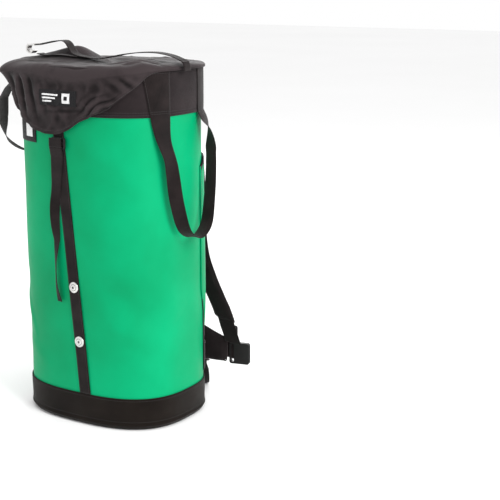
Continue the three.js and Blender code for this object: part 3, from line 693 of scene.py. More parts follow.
def make_collar():
    """The collar: a doubled band folded over the shell's top edge, slightly puckered."""
    columns = 340
    around = np.linspace(0, GIRTH, columns, endpoint=False)
    profile = [
        (0.6, 610.0), (1.6, 609.6), (2.7, 610.4), (2.9, 613.0), (2.4, 617.0), (2.6, 622.0),
        (2.9, 632.0), (3.0, 644.0), (3.0, 656.0), (3.0, 668.0), (2.9, 680.0), (2.6, 690.0),
        (2.0, 696.0), (0.8, 700.0), (-1.2, 701.2), (-3.2, 700.0), (-4.6, 696.0), (-4.8, 680.0),
        (-4.8, 652.0), (-2.7, 650.5), (-2.7, 690.0), (-2.4, 698.6), (0.3, 698.6), (0.4, 690.0),
        (0.4, 640.0),
    ]
    rows = []
    for off, z in profile:
        points = skin(around, z * MM, 0.0)
        outside = off > 2.2
        pucker = soft_noise(points * np.array([1, 1, 0.5]), 17.0, 3, 21.0) * (0.9 if outside else 0)
        lift = soft_noise(points, 6.0, 2, 5.0) * (1.6 if z > 695 else 0)
        rows.append(skin(around, (z + lift) * MM, (off + pucker) * MM))
    collar = tube("collar", np.stack(rows), closed=True)
    finish_piece(collar, "bag", "black_nylon", NYLON, "collar_band")
    ring = np.linspace(0, GIRTH, 420)
    for index, z in enumerate((0.6145, 0.6195, 0.691)):
        skin_stitches(f"collar_stitches_{index}", ring, np.full_like(ring, z), 3.3 * MM, "bag",
                      slot="black_nylon")
    height = np.linspace(0.612, 0.694, 30)
    for index, shift in enumerate((-2.2 * MM, 2.2 * MM)):
        skin_stitches(f"back_seam_{index}", BACK + shift + height * 0, height, 3.4 * MM, "bag",
                      material=GREY_THREAD, slot="black_nylon")
    return collar


make_shell()
make_base()
make_floor_layer()
make_collar()

# ---------------------------------------------------------------------------------------------
# Straps, rivets and labels on the skin.
# ---------------------------------------------------------------------------------------------


def front_strap_at(z):
    return lerp(FRONT_STRAP_FOOT, FRONT_STRAP_TOP, (z - BASE_TOP) / (COLLAR_LOW - BASE_TOP))


def make_front_strap():
    z = np.linspace(BASE_TOP + 0.6 * MM, COLLAR_LOW - 0.6 * MM, 120)
    wave = 0.3 * MM * np.sin(z * 31) + 1.6 * MM
    strap = skin_ribbon("front_strap_webbing", front_strap_at(z), z, wave, FRONT_STRAP_WIDTH)
    finish_piece(strap, "bag", "black_webbing", BLACK_WEBBING, "front_strap")
    for side in (-1, 1):
        inset = front_strap_at(z) + side * (FRONT_STRAP_WIDTH / 2 - 2.6 * MM)
        skin_stitches(f"front_strap_stitches_{side + 1}", inset, z, wave + 1.0 * MM, "bag")


def make_rivet(node):
    """A screw rivet: a domed steel washer with a recessed hexagon socket; a dark ring in its groove and a
    dark plug in the socket are painted shade.
    """
    low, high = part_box(node)
    z = (low[2] + high[2]) / 2
    distance = front_strap_at(z)
    along, out = skin_axes(distance)
    centre = Vector(skin(distance, z, 0.0))
    profile = [
        (4.0, -4.4), (4.0, 2.7), (10.4, 2.7), (10.9, 3.1), (10.9, 3.7), (10.3, 4.3), (8.6, 4.9),
        (7.0, 5.1), (6.6, 4.7), (6.2, 4.7), (5.9, 5.3), (5.2, 5.9), (3.6, 6.2), (3.1, 6.0),
    ]
    sides = 48
    rows = []
    for radius, off in profile:
        rows.append([tuple(centre + out * off * MM + (along * math.cos(a) + Vector((0, 0, 1)) * math.sin(a))
                     * radius * MM) for a in np.linspace(0, 2 * math.pi, sides, endpoint=False)])
    for radius, off in ((2.3, 5.9), (2.1, 4.3), (0.4, 4.1)):
        row = []
        for a in np.linspace(0, 2 * math.pi, sides, endpoint=False):
            hexagon = math.cos(math.pi / 6) / math.cos((a % (math.pi / 3)) - math.pi / 6)
            row.append(tuple(centre + out * off * MM
                       + (along * math.cos(a) + Vector((0, 0, 1)) * math.sin(a)) * radius * hexagon * MM))
        rows.append(row)
    rivet = tube(f"{node}_screw", np.array(rows))
    bevel(rivet, 0.15 * MM, 1, 50)
    finish_piece(rivet, "bag", "steel", STEEL, node)
    # Painted shade: a dark ring laid in the groove round the dome.
    ring = np.array([[centre + out * off * MM + (along * math.cos(a) + Vector((0, 0, 1)) * math.sin(a))
                      * radius * MM for a in np.linspace(0, 2 * math.pi, 40, endpoint=False)]
                     for radius, off in ((6.9, 4.75), (6.3, 4.95), (5.8, 5.0), (5.9, 4.7))])
    groove_shade = tube(f"{node}_groove", ring)
    finish_piece(groove_shade, "bag", "steel", DARK_THREAD)
    # Painted shade: a dark plug filling the hexagon socket.
    socket_shade = np.array([[centre + out * off * MM + (along * math.cos(a) + Vector((0, 0, 1)) * math.sin(a))
                      * radius * MM for a in np.linspace(0, 2 * math.pi, 24, endpoint=False)]
                     for radius, off in ((2.2, 4.2), (2.2, 6.05), (0.3, 6.1))])
    finish_piece(tube(f"{node}_socket", socket_shade), "bag", "steel", DARK_THREAD)


def make_side_strap():
    z = np.linspace(BASE_TOP + 0.6 * MM, COLLAR_LOW - 0.6 * MM, 110)
    wave = 0.25 * MM * np.sin(z * 23) + 1.55 * MM
    strap = skin_ribbon("side_webbing", -SIDE_STRAP_GIRTH, z, wave, SIDE_STRAP_WIDTH)
    finish_piece(strap, "bag", "black_webbing", BLACK_WEBBING, "side_strap")
    for edge in (-1, 1):
        inset = -SIDE_STRAP_GIRTH + edge * (SIDE_STRAP_WIDTH / 2 - 3 * MM)
        skin_stitches(f"side_stitches_{edge + 1}", inset + z * 0, z, wave + 1.0 * MM, "bag")


def skin_patch(name, distances, heights, off_low, off_high, edge=0.0):
    """A flat patch on the skin with softened edges."""
    s, z = np.meshgrid(distances, heights)
    outer = skin(s, z, off_high)
    inner = skin(s, z, off_low)
    patch = skin_solid(name, outer, inner)
    if edge:
        bevel(patch, edge)
    return patch


def make_side_label():
    """The woven side label, with a plain striped mark of its own."""
    low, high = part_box("side_label")
    label = skin_patch("side_label_patch", np.linspace(-0.247, -0.083, 60),
                       np.linspace(low[2], high[2], 12), 0.6 * MM, 1.7 * MM, 0.3 * MM)
    finish_piece(label, "bag", "label", LABEL_BLACK, "side_label")
    bars = [(-0.232, -0.175, 0.572, 0.575), (-0.232, -0.160, 0.580, 0.583),
            (-0.232, -0.188, 0.588, 0.591), (-0.118, -0.094, 0.562, 0.598)]
    for index, (s0, s1, z0, z1) in enumerate(bars):
        mark = skin_patch(f"side_label_mark_{index}", np.linspace(s0, s1, 24), np.linspace(z0, z1, 4),
                          1.6 * MM, 2.0 * MM)
        finish_piece(mark, "bag", "label", LABEL_WHITE)


make_front_strap()
for rivet_name in ("rivet_upper", "rivet_lower"):
    make_rivet(rivet_name)
make_side_strap()
make_side_label()

# ---------------------------------------------------------------------------------------------
# The stow pocket and the back of the bag.
# ---------------------------------------------------------------------------------------------

PANEL_HALF = 0.199
PANEL_FOOT_HALF = 0.169
PANEL_SHOULDER = 0.252
PANEL_FOOT = 0.165
PANEL_FOOT_RISE = 0.024
PANEL_MOUTH = 0.518
MOUTH_GAPE = 0.022
LINING_RISE = 0.030


def panel_half_at(z):
    rising = lerp(PANEL_FOOT_HALF, PANEL_HALF, (z - PANEL_FOOT) / (PANEL_SHOULDER - PANEL_FOOT))
    return np.where(z >= PANEL_SHOULDER, PANEL_HALF, rising)


def panel_place(u, v, off):
    """A place on the pocket's panel: across from -1 to 1, up from 0 to 1, and height off it."""
    mouth = PANEL_MOUTH - 16 * MM * smoothstep(np.abs(u), 0.86, 1.0)
    z = lerp(PANEL_FOOT + PANEL_FOOT_RISE * (1 - u * u), mouth, v)
    plain = 5 * MM * np.maximum(1 - u * u, 0) ** 0.8
    gape = MOUTH_GAPE * np.maximum(1 - (u / 0.80) ** 2, 0) ** 1.1
    bulge = lerp(plain, gape, v * v)
    off = off - 2.0 * MM * smoothstep(np.abs(u), 0.90, 0.99)
    return skin(BACK + u * panel_half_at(z), z, off + bulge)


def make_pocket():
    u, v = np.meshgrid(np.linspace(-1, 1, 130), np.linspace(0, 1, 110))
    mid = panel_place(u, v, 3.6 * MM)
    room = (1 - u ** 2) * np.sin(math.pi * np.clip(v, 0, 1)) ** 0.5
    waves = soft_noise(mid, 7.0, 2, 11.0) * 3.0 * MM * room
    hem = 0.5 * MM * smoothstep(v, 0.955, 0.965)
    outer = panel_place(u, v, 4.4 * MM + waves + hem)
    inner = panel_place(u, v, 2.8 * MM + waves)
    panel = skin_solid("pocket_front", outer, inner)
    finish_piece(panel, "bag", "green_vinyl", GREEN, "pocket_panel")
    across = np.linspace(-0.985, 0.985, 260)
    for index, height in enumerate((0.958, 0.99)):
        line = panel_place(across, np.full_like(across, height), 5.0 * MM)
        out = unit(panel_place(across, np.full_like(across, height), 15 * MM) - line)
        stitches(f"pocket_hem_{index}", line, out, "bag")
    up = np.linspace(0.02, 0.97, 200)
    for edge in (-0.985, 0.985):
        line = panel_place(np.full_like(up, edge), up, 4.9 * MM)
        out = unit(panel_place(np.full_like(up, edge), up, 15 * MM) - line)
        stitches(f"pocket_edge_{edge > 0:d}", line, out, "bag")


def make_binding():
    """The black tape that binds the pocket's mouth."""
    across = np.linspace(-0.995, 0.995, 200)
    centre = panel_place(across, np.full_like(across, 0.985), 3.6 * MM)
    out = unit(panel_place(across, np.full_like(across, 0.985), 13 * MM) - centre)
    side = unit(np.cross(tangents(centre), out))
    tape = ribbon("pocket_binding", centre, side, out, 11 * MM, 3.0 * MM)
    finish_piece(tape, "bag", "black_webbing", BLACK_WEBBING)


def make_lining():
    u, v = np.meshgrid(np.linspace(-1, 1, 110), np.linspace(0, 1, 60))
    top = PANEL_MOUTH + 2 * MM + LINING_RISE * (1 - u * u) - 24 * MM * smoothstep(np.abs(u), 0.82, 0.96)
    z = lerp(0.200, top, v)
    s = BACK + u * (panel_half_at(np.array(0.200)) - 8 * MM)
    ripple = soft_noise(skin(s, z, 0.0), 24.0, 3, 2.0) * 0.5 * MM * smoothstep(v, 0.5, 1)
    lining = skin_solid("blue_lining", skin(s, z, 1.6 * MM + ripple), skin(s, z, 0.6 * MM))
    finish_piece(lining, "bag", "blue_coating", BLUE, "pocket_lining")
    edge = np.linspace(-0.80, 0.80, 220)
    top = PANEL_MOUTH + 2 * MM + LINING_RISE * (1 - edge * edge) - 4 * MM
    skin_stitches("lining_stitches", BACK + edge * (panel_half_at(np.array(0.200)) - 8 * MM), top,
                  2.2 * MM, "bag", material=GREY_THREAD, slot="blue_coating")


def make_gusset(name, side):
    """A dark diagonal strip beside the pocket's foot, doubled and top-stitched."""
    limit = 0.1985 if side < 0 else 0.1830
    z = np.linspace(0.140, 0.232, 40)
    inner = panel_half_at(z) + 1 * MM
    outer = np.minimum(inner + 20 * MM, limit)
    t = np.linspace(0, 1, 14)[None, :]
    s = BACK - side * lerp(inner[:, None], outer[:, None], t)
    z2 = np.broadcast_to(z[:, None], s.shape)
    crown = 0.8 * MM * (1 - (2 * t - 1) ** 4)
    strip = skin_solid(f"gusset_tape_{name}", skin(s, z2, 1.6 * MM + crown), skin(s, z2, 0.6 * MM))
    finish_piece(strip, "bag", "black_nylon", NYLON, f"gusset_{name}")
    for index, share in enumerate((0.15, 0.85)):
        line = BACK - side * lerp(inner, outer, share)
        skin_stitches(f"gusset_stitches_{name}_{index}", line, z, 2.5 * MM, "bag")


def crowned_panel(name, place, columns, rows, thickness, channels=()):
    """A padded panel. place(u, v, off) puts it on the bag; channels are seams across it."""
    u, v = np.meshgrid(np.linspace(-1, 1, columns), np.linspace(-1, 1, rows))
    crown = np.clip((1 - np.abs(u) ** 12) * (1 - np.abs(v) ** 5), 0, 1) ** 0.5
    for at, wide in channels:
        crown = crown * (1 - 0.72 * np.exp(-((u - at) / wide) ** 2))
    rough = soft_noise(np.stack([u * 3, v, u * 0], axis=-1), 2.3, 3, 8.0) * 0.10
    crown = np.clip(crown * (1 + rough), 0.12, 1.05)
    outer = place(u, v, 0.4 * MM + thickness * crown)
    inner = place(u, v, np.zeros_like(u))
    return skin_solid(name, outer, inner)


def make_lumbar():
    def place(u, v, off):
        top = PANEL_FOOT + PANEL_FOOT_RISE * (1 - u * u) - 2.0 * MM
        return skin(BACK + u * (PANEL_FOOT_HALF - 8 * MM), lerp(0.1395, top, (v + 1) / 2),
                    off + 1 * MM)
    seams = [(-0.6, 0.02), (-0.2, 0.02), (0.2, 0.02), (0.6, 0.02)]
    pad = crowned_panel("lumbar_pad", place, 240, 26, 6.4 * MM, channels=seams)
    finish_piece(pad, "bag", "black_nylon", PAD_CLOTH, "lumbar_panel")


def make_sleeve():
    def place(u, v, off):
        reach = np.where(u > 0, 0.199, 0.183)
        return skin(BACK + u * reach, lerp(0.077, 0.1385, (v + 1) / 2), off + 1 * MM)
    sleeve = crowned_panel("belt_sleeve_cloth", place, 240, 26, 3.6 * MM)
    finish_piece(sleeve, "bag", "black_nylon", NYLON, "belt_sleeve")
    s = BACK + np.linspace(-0.179, 0.194, 300)
    for index, (z, thread) in enumerate(((0.0815, DARK_THREAD), (0.1335, GREY_THREAD))):
        skin_stitches(f"sleeve_stitches_{index}", s, np.full_like(s, z), 4.6 * MM, "bag",
                      material=thread, slot="black_nylon")


def make_anchor_patch(name, side):
    """The box of cloth on the collar that holds a shoulder strap, with its bar stitch."""
    centre = BACK - side * HARNESS_SPACING

    def place(u, v, off):
        return skin(centre + u * 37 * MM, lerp(0.614, 0.672, (v + 1) / 2), off + 3.4 * MM)
    patch = crowned_panel(f"anchor_cloth_{name}", place, 60, 46, 1.3 * MM)
    finish_piece(patch, "bag", "black_nylon", NYLON, f"anchor_patch_{name}")
    s = centre + np.linspace(-26 * MM, 26 * MM, 60)
    for index, z in enumerate((0.6530, 0.6545, 0.6560)):
        skin_stitches(f"anchor_bar_{name}_{index}", s, np.full_like(s, z), 5.4 * MM, "bag",
                      material=GREY_THREAD, length=2.2 * MM, space=0.4 * MM, thick=0.9 * MM,
                      slot="black_nylon")
    edge = 33 * MM
    for index, (a, b) in enumerate((((-edge, 0.617), (edge, 0.617)), ((edge, 0.617), (edge, 0.669)),
                                    ((edge, 0.669), (-edge, 0.669)), ((-edge, 0.669), (-edge, 0.617)))):
        t = np.linspace(0, 1, 40)
        skin_stitches(f"anchor_box_{name}_{index}", centre + lerp(a[0], b[0], t), lerp(a[1], b[1], t),
                      5.2 * MM, "bag", slot="black_nylon")


make_pocket()
make_binding()
make_lining()
make_lumbar()
make_sleeve()
for back_name, back_side in (("left", -1), ("right", 1)):
    make_gusset(back_name, back_side)
    make_anchor_patch(back_name, back_side)

# ---------------------------------------------------------------------------------------------
# The haul loops.
# ---------------------------------------------------------------------------------------------

LOOP_MIDDLE = 0.254
LOOP_LEGS = 0.071
LOOP_ROOT = 0.611
LOOP_TOP = 0.695
SEWN_HEIGHT = 4.7 * MM


def leg_width(z):
    """The webbing folds together on its way down: full width at the collar's top, narrow below."""
    return np.interp(z, [0.530, LOOP_TOP], [27 * MM, 56 * MM])


# How far a loop's leg stands off beyond its plain line, by height: the long loop's back leg and the
# short loop's front leg, which the lid's corner pushes out.
FLARES = {
    (1, 1): [(0.372, 0), (0.420, 3), (0.500, 7), (0.545, 14), (0.575, 13), (0.602, 5), (0.612, 0)],
    (-1, -1): [(0.512, 0), (0.528, 22), (0.550, 37), (0.585, 45), (0.625, 43), (0.650, 28), (0.675, 3),
               (0.680, 0)],
}


# The half turn each loop takes from one sewn end to the other, as shares of its length.
LOOP_TURNS = {
    "long": ([0, 0.10, 0.30, 0.50, 0.70, 0.86, 0.94, 1], [0, 0.06, 0.28, 0.46, 0.52, 0.56, 0.80, 1]),
    "short": ([0, 0.08, 0.30, 0.50, 0.70, 0.92, 1], [0, 0.16, 0.40, 0.50, 0.60, 0.90, 1]),
}


def flare(side, end, z):
    stops = FLARES.get((side, end))
    if stops is None:
        return 0 * z
    heights, offs = zip(*stops)
    return np.interp(z, heights, offs) * MM


def loop_strip(side, foot, stand, steps=190):
    """A haul loop's centre line from the root of one sewn leg to the root of the other."""
    stations = [(1, 1, 0), (0.99, 0.86, 0.2), (0.94, 0.66, 0.5), (0.76, 0.3, 0.85), (0.42, 0.07, 1)]

    def leg_point(end, station):
        spread, height, off = station
        z = lerp(foot, LOOP_ROOT, height)
        reach = LOOP_LEGS * spread - (56 * MM - leg_width(z)) / 2 * smoothstep(height, 0.0, 0.5)
        stand_off = lerp(SEWN_HEIGHT, stand, off) + flare(side, end, z)
        return skin(side * (LOOP_MIDDLE + end * reach), z, stand_off)

    down = [leg_point(-1, station) for station in stations]
    up = [leg_point(1, station) for station in stations][::-1]
    centre = catmull(down + [skin(side * LOOP_MIDDLE, foot, stand)] + up, steps)
    return centre


def make_haul_loop(name, side, foot, stand, sag):
    centre = loop_strip(side, foot, stand)
    count = len(centre)
    v = np.linspace(0, 1, count)
    narrow = smoothstep(np.minimum(v, 1 - v), 0, 0.27)
    width = leg_width(centre[:, 2])
    along, out = skin_axes(side * LOOP_MIDDLE)
    turn = math.pi * np.interp(v, *LOOP_TURNS[name])
    across = (-side * np.cos(turn))[:, None] * np.array(along) - np.sin(turn)[:, None] * np.array(out)
    normal = unit(np.cross(across, tangents(centre)))
    section = strap_section(14)
    thick = 1.5 * MM
    free = (centre[:, None, :] + across[:, None, :] * (section[None, :, 0:1] * width[:, None, None] / 2)
            + normal[:, None, :] * (section[None, :, 1:2] * thick / 2))
    cup = (section[None, :, 0:1] ** 2 - 0.4) * (sag * narrow)[:, None, None]
    free = free + normal[:, None, :] * cup
    leg = np.where(v < 0.5, -1, 1)
    free_until = np.where(leg < 0, 0.090, 0.034)
    hold = smoothstep(centre[:, 2], LOOP_ROOT - free_until, LOOP_ROOT - free_until * 0.15)
    middle = side * (LOOP_MIDDLE + leg * (LOOP_LEGS - (56 * MM - width) / 2))
    distance = middle[:, None] + (leg * side)[:, None] * section[None, :, 0] * width[:, None] / 2
    stand_off = np.array([flare(side, end, z) for end, z in zip(leg, centre[:, 2])])
    height = SEWN_HEIGHT + side * section[None, :, 1] * thick / 2 + stand_off[:, None]
    flat = skin(distance, np.broadcast_to(centre[:, None, 2], distance.shape), height)
    points = free * (1 - hold)[:, None, None] + flat * hold[:, None, None]

    def sewn_rows(end, levels):
        rows = []
        for z in levels:
            wide = leg_width(z)
            place = side * (LOOP_MIDDLE + leg[end] * (LOOP_LEGS - (56 * MM - wide) / 2))
            off = SEWN_HEIGHT + side * section[:, 1] * thick / 2 + flare(side, leg[end], z)
            rows.append(skin(place + leg[end] * side * section[:, 0] * wide / 2, z, off))
        return np.array(rows)
    levels = np.linspace(LOOP_TOP, LOOP_ROOT + 2 * MM, 36)
    rows = np.concatenate([sewn_rows(0, levels), points, sewn_rows(-1, levels[::-1])])
    run = lengths_along(rows.mean(axis=1))
    uvs = np.stack(np.broadcast_arrays(section[None, :, 0] * 20 * MM, run[:, None]), axis=-1)
    strip = tube(f"haul_strap_{name}", rows, uvs)
    finish_piece(strip, None, "black_webbing", BLACK_WEBBING, f"haul_loop_{name}",
                 f"haul_leg_{name}_front", f"haul_leg_{name}_back")
    bend_at = skin(side * LOOP_MIDDLE, LOOP_ROOT, SEWN_HEIGHT)
    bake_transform(strip)
    for end in (-1, 1):
        for index, z in enumerate((0.6905, 0.6165, 0.6205)):
            wide = leg_width(z)
            middle = side * (LOOP_MIDDLE + end * (LOOP_LEGS - (56 * MM - wide) / 2))
            s = middle + np.linspace(-0.45, 0.45, 40) * wide
            skin_stitches(f"haul_bar_{name}_{end + 1}_{index}", s, np.full_like(s, z), 5.6 * MM, "bag")
        for index, share in enumerate((-0.45, 0.45)):
            z = np.linspace(0.6165, 0.6905, 40)
            wide = leg_width(z)
            middle = side * (LOOP_MIDDLE + end * (LOOP_LEGS - (56 * MM - wide) / 2))
            skin_stitches(f"haul_side_{name}_{end + 1}_{index}", middle + share * wide, z, 5.6 * MM, "bag")


make_haul_loop("long", 1, 0.376, 0.026, 2.0 * MM)
make_haul_loop("short", -1, 0.512, 0.024, 1.6 * MM)

# ---------------------------------------------------------------------------------------------
# Webbing tails: flat straps that hang from a buckle and lie on the floor.
# ---------------------------------------------------------------------------------------------

TAIL_ROUTES = {
    "hip_tail_left": [
        (-196, 178, 44), (-196, 200, 22), (-186, 226, 6), (-168, 262, 2), (-140, 318, 2),
        (-98, 350, 2), (-44, 346, 2), (0, 318, 2),
    ],
    "hip_tail_right": [
        (98, 163, 68), (98, 167, 44), (95, 173, 20), (88, 182, 5), (74, 196, 2), (58, 214, 2),
        (38, 234, 2), (16, 250, 2),
    ],
    "shoulder_tail": [
        (-88, 184, 178), (-88, 190, 140), (-86, 196, 90), (-84, 204, 40), (-80, 216, 8),
        (-72, 236, 2), (-62, 262, 2),
    ],
}


def make_tail(node, body, width):
    centre = catmull(np.array(TAIL_ROUTES[node]) * MM, 220)
    along = tangents(centre)
    level = unit(np.stack([along[:, 1], -along[:, 0], along[:, 0] * 0], axis=1))
    normal = unit(np.cross(level, along))
    tail = ribbon(f"{node}_strap", centre, level, normal, width, 1.7 * MM)
    finish_piece(tail, body, "black_webbing", BLACK_WEBBING, node)
    end = centre[-12:-4]
    lift = np.where(normal[-12:-4, 2:3] < 0, -1, 1) * normal[-12:-4]
    middle = end[len(end) // 2]
    row = middle + level[-8] * np.linspace(-width / 2, width / 2, 20)[:, None] * 0.85 + lift[0] * 1.0 * MM
    stitches(f"{node}_hem", row, np.broadcast_to(lift[0], row.shape), body)


make_tail("hip_tail_left", "hip_wing_left", 25 * MM)
make_tail("hip_tail_right", "hip_wing_right", 25 * MM)
make_tail("shoulder_tail", "lower_left", 38 * MM)

# ---------------------------------------------------------------------------------------------
# The lid.
# ---------------------------------------------------------------------------------------------

LID_RIM = 0.7045
LID_OFF = 9 * MM
LID_WALL = 1.8 * MM
# The lid's lower edge: distance round the bag, and height above the floor.
LID_EDGE = [
    (-0.230, 0.688), (-0.212, 0.688), (-0.196, 0.680), (-0.178, 0.660), (-0.148, 0.622), (-0.112, 0.597),
    (-0.080, 0.580), (-0.050, 0.573), (-0.018, 0.573), (0.006, 0.581), (0.038, 0.602), (0.066, 0.613),
    (0.100, 0.630), (0.150, 0.670), (0.160, 0.682), (0.172, 0.691), (0.190, 0.694), (0.240, 0.694),
]


def signed_girth(distance):
    return np.mod(np.asarray(distance) + BACK, GIRTH) - BACK


def lid_edge_height(distance):
    around = signed_girth(distance)
    stops = np.array(LID_EDGE)
    total = 0
    for shift in np.linspace(-7 * MM, 7 * MM, 5):
        total = total + np.interp(around + shift, stops[:, 0], stops[:, 1])
    return total / 5


def hump(x, y, reach_x, reach_y):
    return np.exp(-(x / reach_x) ** 2 - (y / reach_y) ** 2)


def lid_lift(x, y):
    """The lid's top above its rim: a peak at the strap, a hollow beside it, and soft creases."""
    peak = 26 * hump(x + 0.070, y + 0.012, 0.050, 0.040) + 7 * hump(x + 0.125, y + 0.035, 0.04, 0.04)
    hollow = 9 * hump(x - 0.040, y - 0.010, 0.065, 0.075)
    ridge = 11 * hump(x - 0.095, y + 0.020, 0.045, 0.060) + 5 * hump(x - 0.125, y + 0.070, 0.03, 0.03)
    points = np.stack(np.broadcast_arrays(x, y, 0 * x), axis=-1)
    crease = 2.2 * soft_noise(points, 16.0, 3, 31.0) - 3.0 * np.abs(soft_noise(points, 12.0, 2, 8.0)) ** 0.6
    gathers = 3.0 * ridge_wave((x * 0.5 - y) * 2 * math.pi / 0.030) * hump(x - 0.115, y + 0.075, 0.05, 0.04)
    return (peak - hollow + ridge + crease + gathers) * MM


def lid_round(distance):
    """How far down the lid's shoulder rounds over: softly in front, sharply at the back."""
    around = signed_girth(distance)
    droop = 13 * np.exp(-((around + 0.176) / 0.035) ** 2)
    return (6.5 + 19.5 * np.exp(-(around / 0.125) ** 2) + droop) * MM


def ridge_wave(turn):
    """A wave with sharp creases between rounded folds."""
    return 1.4 * np.abs(np.cos(turn / 2)) - 0.7


def lid_folds(s, z, points):
    """The folds in the flap: how far it stands in or out, in metres."""
    across = -0.547 * (s - 0.075) + 0.837 * (z - 0.622)
    bent = across + 0.004 * np.sin((s + z) * 60)
    diagonal = 5.0 * ridge_wave(bent * 2 * math.pi / 0.0135) * np.exp(
        -((s - 0.078) / 0.034) ** 2 - ((z - 0.620) / 0.024) ** 2)
    left = ridge_wave((s + 0.25 * (z - 0.65)) * 2 * math.pi / 0.030 + 1.0)
    upright = 6.0 * left * np.exp(-((s + 0.115) / 0.045) ** 2 - ((z - 0.645) / 0.045) ** 2)
    hollow = -2.6 * np.exp(-((z - 0.668) / 0.010) ** 2 - ((s + 0.010) / 0.075) ** 2)
    bulge = 1.8 * np.exp(-((z - 0.642) / 0.016) ** 2 - ((s + 0.012) / 0.055) ** 2)
    crease = -1.6 * np.exp(-((z - 0.6185 - 0.06 * s) / 0.0035) ** 2 - ((s - 0.005) / 0.05) ** 2)
    pull = 1.8 * np.cos((0.6 * (s - 0.13) + 0.8 * (z - 0.66)) * 2 * math.pi / 0.020) * np.exp(
        -((s - 0.125) / 0.03) ** 2 - ((z - 0.672) / 0.02) ** 2)
    loose = 1.3 * soft_noise(points, 20.0, 3, 17.0)
    crumple = -3.4 * np.abs(soft_noise(points, 24.0, 2, 53.0)) ** 0.6 + 1.5
    return (diagonal + upright + hollow + bulge + crease + pull + loose + crumple) * MM


def lid_ear(s, share=0.0):
    """The corner that stands away on the left: all of it at the lid's rim, a little at the hem."""
    around = signed_girth(s)
    sharp = 20 * np.exp(-((around + 0.172) / 0.020) ** 2)
    wide = 15 * np.exp(-((around + 0.165) / 0.050) ** 2)
    return (sharp + wide) * MM * lerp(1.0, 0.18, np.asarray(share) ** 0.8)


def lid_points(columns=420, dome_rows=64, round_rows=12, flap_rows=96):
    s = np.linspace(0, GIRTH, columns, endpoint=False)
    rows = []
    reach = 0.93
    ox, oy = oval(s)
    for scale in np.linspace(0.004, reach, dome_rows):
        x, y = ox * scale, oy * scale
        rows.append(np.stack([x, y, LID_RIM + lid_lift(x, y)], axis=1))
    start = rows[-1]
    drop = lid_round(s)
    foot = skin(s, LID_RIM - drop, LID_OFF + lid_ear(s))
    for turn in np.linspace(0, math.pi / 2, round_rows + 1)[1:]:
        flat = start[:, :2] + (foot[:, :2] - start[:, :2]) * math.sin(turn)
        level = foot[:, 2] + (start[:, 2] - foot[:, 2]) * math.cos(turn)
        level = level + 1.2 * MM * soft_noise(np.column_stack([flat, level]), 14.0, 2, 4.0)
        rows.append(np.column_stack([flat, level]))
    edge = np.minimum(lid_edge_height(s), LID_RIM - drop - 1 * MM)
    top = rows[-1][:, 2]
    for share in np.linspace(0, 1, flap_rows + 1)[1:]:
        z = lerp(top, edge, share)
        base = skin(s, z, LID_OFF)
        fade = smoothstep(top - z, 0.0, 0.018)
        front = smoothstep(LID_RIM - edge, 0.012, 0.05)
        off = LID_OFF + lid_folds(signed_girth(s), z, base) * fade * front
        off = np.maximum(off, 5.6 * MM) + lid_ear(s, share)
        hem = 0.6 * MM * smoothstep(LID_RIM - edge, 0.02, 0.05) * smoothstep(z - edge, 0.011, 0.009)
        rows.append(skin(s, z, off + hem))
    return np.stack(rows)


def surface_normals(grid):
    across = np.roll(grid, -1, axis=1) - np.roll(grid, 1, axis=1)
    along = np.gradient(grid, axis=0)
    return unit(np.cross(along, across))


def add_fold_shade(obj, grid, out):
    """Stores how far each point stands above its surroundings: ridges 1, plain 0, creases -1. The lid cloth
    paints it into its colour as painted shade in the creases and painted highlight on the ridges.
    """
    soft = grid.copy()
    for _ in range(10):
        soft = (np.roll(soft, 2, axis=1) + np.roll(soft, -2, axis=1) + 2 * soft) / 4
        soft[2:-2] = (soft[:-4] + soft[4:] + 2 * soft[2:-2]) / 4
    rise = np.sum((grid - soft) * out, axis=2)
    rise = np.tanh(rise / (1.3 * MM))
    rise[:8] = 0
    rise[-5:] = 0
    values = np.zeros(len(obj.data.vertices))
    values[:rise.size] = rise.ravel()
    values[rise.size:2 * rise.size] = rise.ravel()
    obj.data.attributes.new("fold", "FLOAT", "POINT").data.foreach_set("value", values)


def make_lid():
    outer = lid_points()
    normals = surface_normals(outer)
    outward = np.sign(np.sum(normals[-20] * unit(outer[-20] * np.array([1, 1, 0])), axis=1).mean())
    inner = outer - normals * outward * LID_WALL
    lid = skin_solid("lid_cloth", outer, inner, loop=True)
    add_fold_shade(lid, outer, normals * outward)
    work = bmesh.new()
    work.from_mesh(lid.data)
    centre = [v for v in work.verts if math.hypot(v.co.x, v.co.y) < 1.5 * MM and v.co.z > 0.68]
    bmesh.ops.remove_doubles(work, verts=centre, dist=0.9 * MM)
    rims = [e for e in work.edges if e.is_boundary]
    bmesh.ops.holes_fill(work, edges=rims, sides=0)
    work.to_mesh(lid.data)
    work.free()
    finish_piece(lid, "lid", "black_nylon", LID_CLOTH, "lid_flap")
    hem_row = outer[-7]
    out_row = normals[-7] * outward
    around = signed_girth(np.linspace(0, GIRTH, outer.shape[1], endpoint=False))
    order = np.argsort(around)
    chosen = [i for i in order if -0.205 < around[i] < 0.185]
    line = hem_row[chosen] + out_row[chosen] * 0.3 * MM
    stitches("lid_hem_stitches", line, out_row[chosen], "lid", slot="black_nylon")
    return outer, normals * outward, around


LID_OUTER, LID_OUT, LID_AROUND = make_lid()


def lid_place(distance, z, lift):
    """A place on the flap's outside at a distance round the bag and a height, raised by lift."""
    column = int(np.argmin(np.abs(LID_AROUND - distance)))
    heights = LID_OUTER[70:, column, 2][::-1]
    row = [np.interp(z, heights, LID_OUTER[70:, column, k][::-1]) for k in range(3)]
    out = [np.interp(z, heights, LID_OUT[70:, column, k][::-1]) for k in range(3)]
    return np.array(row) + unit(np.array(out)) * lift


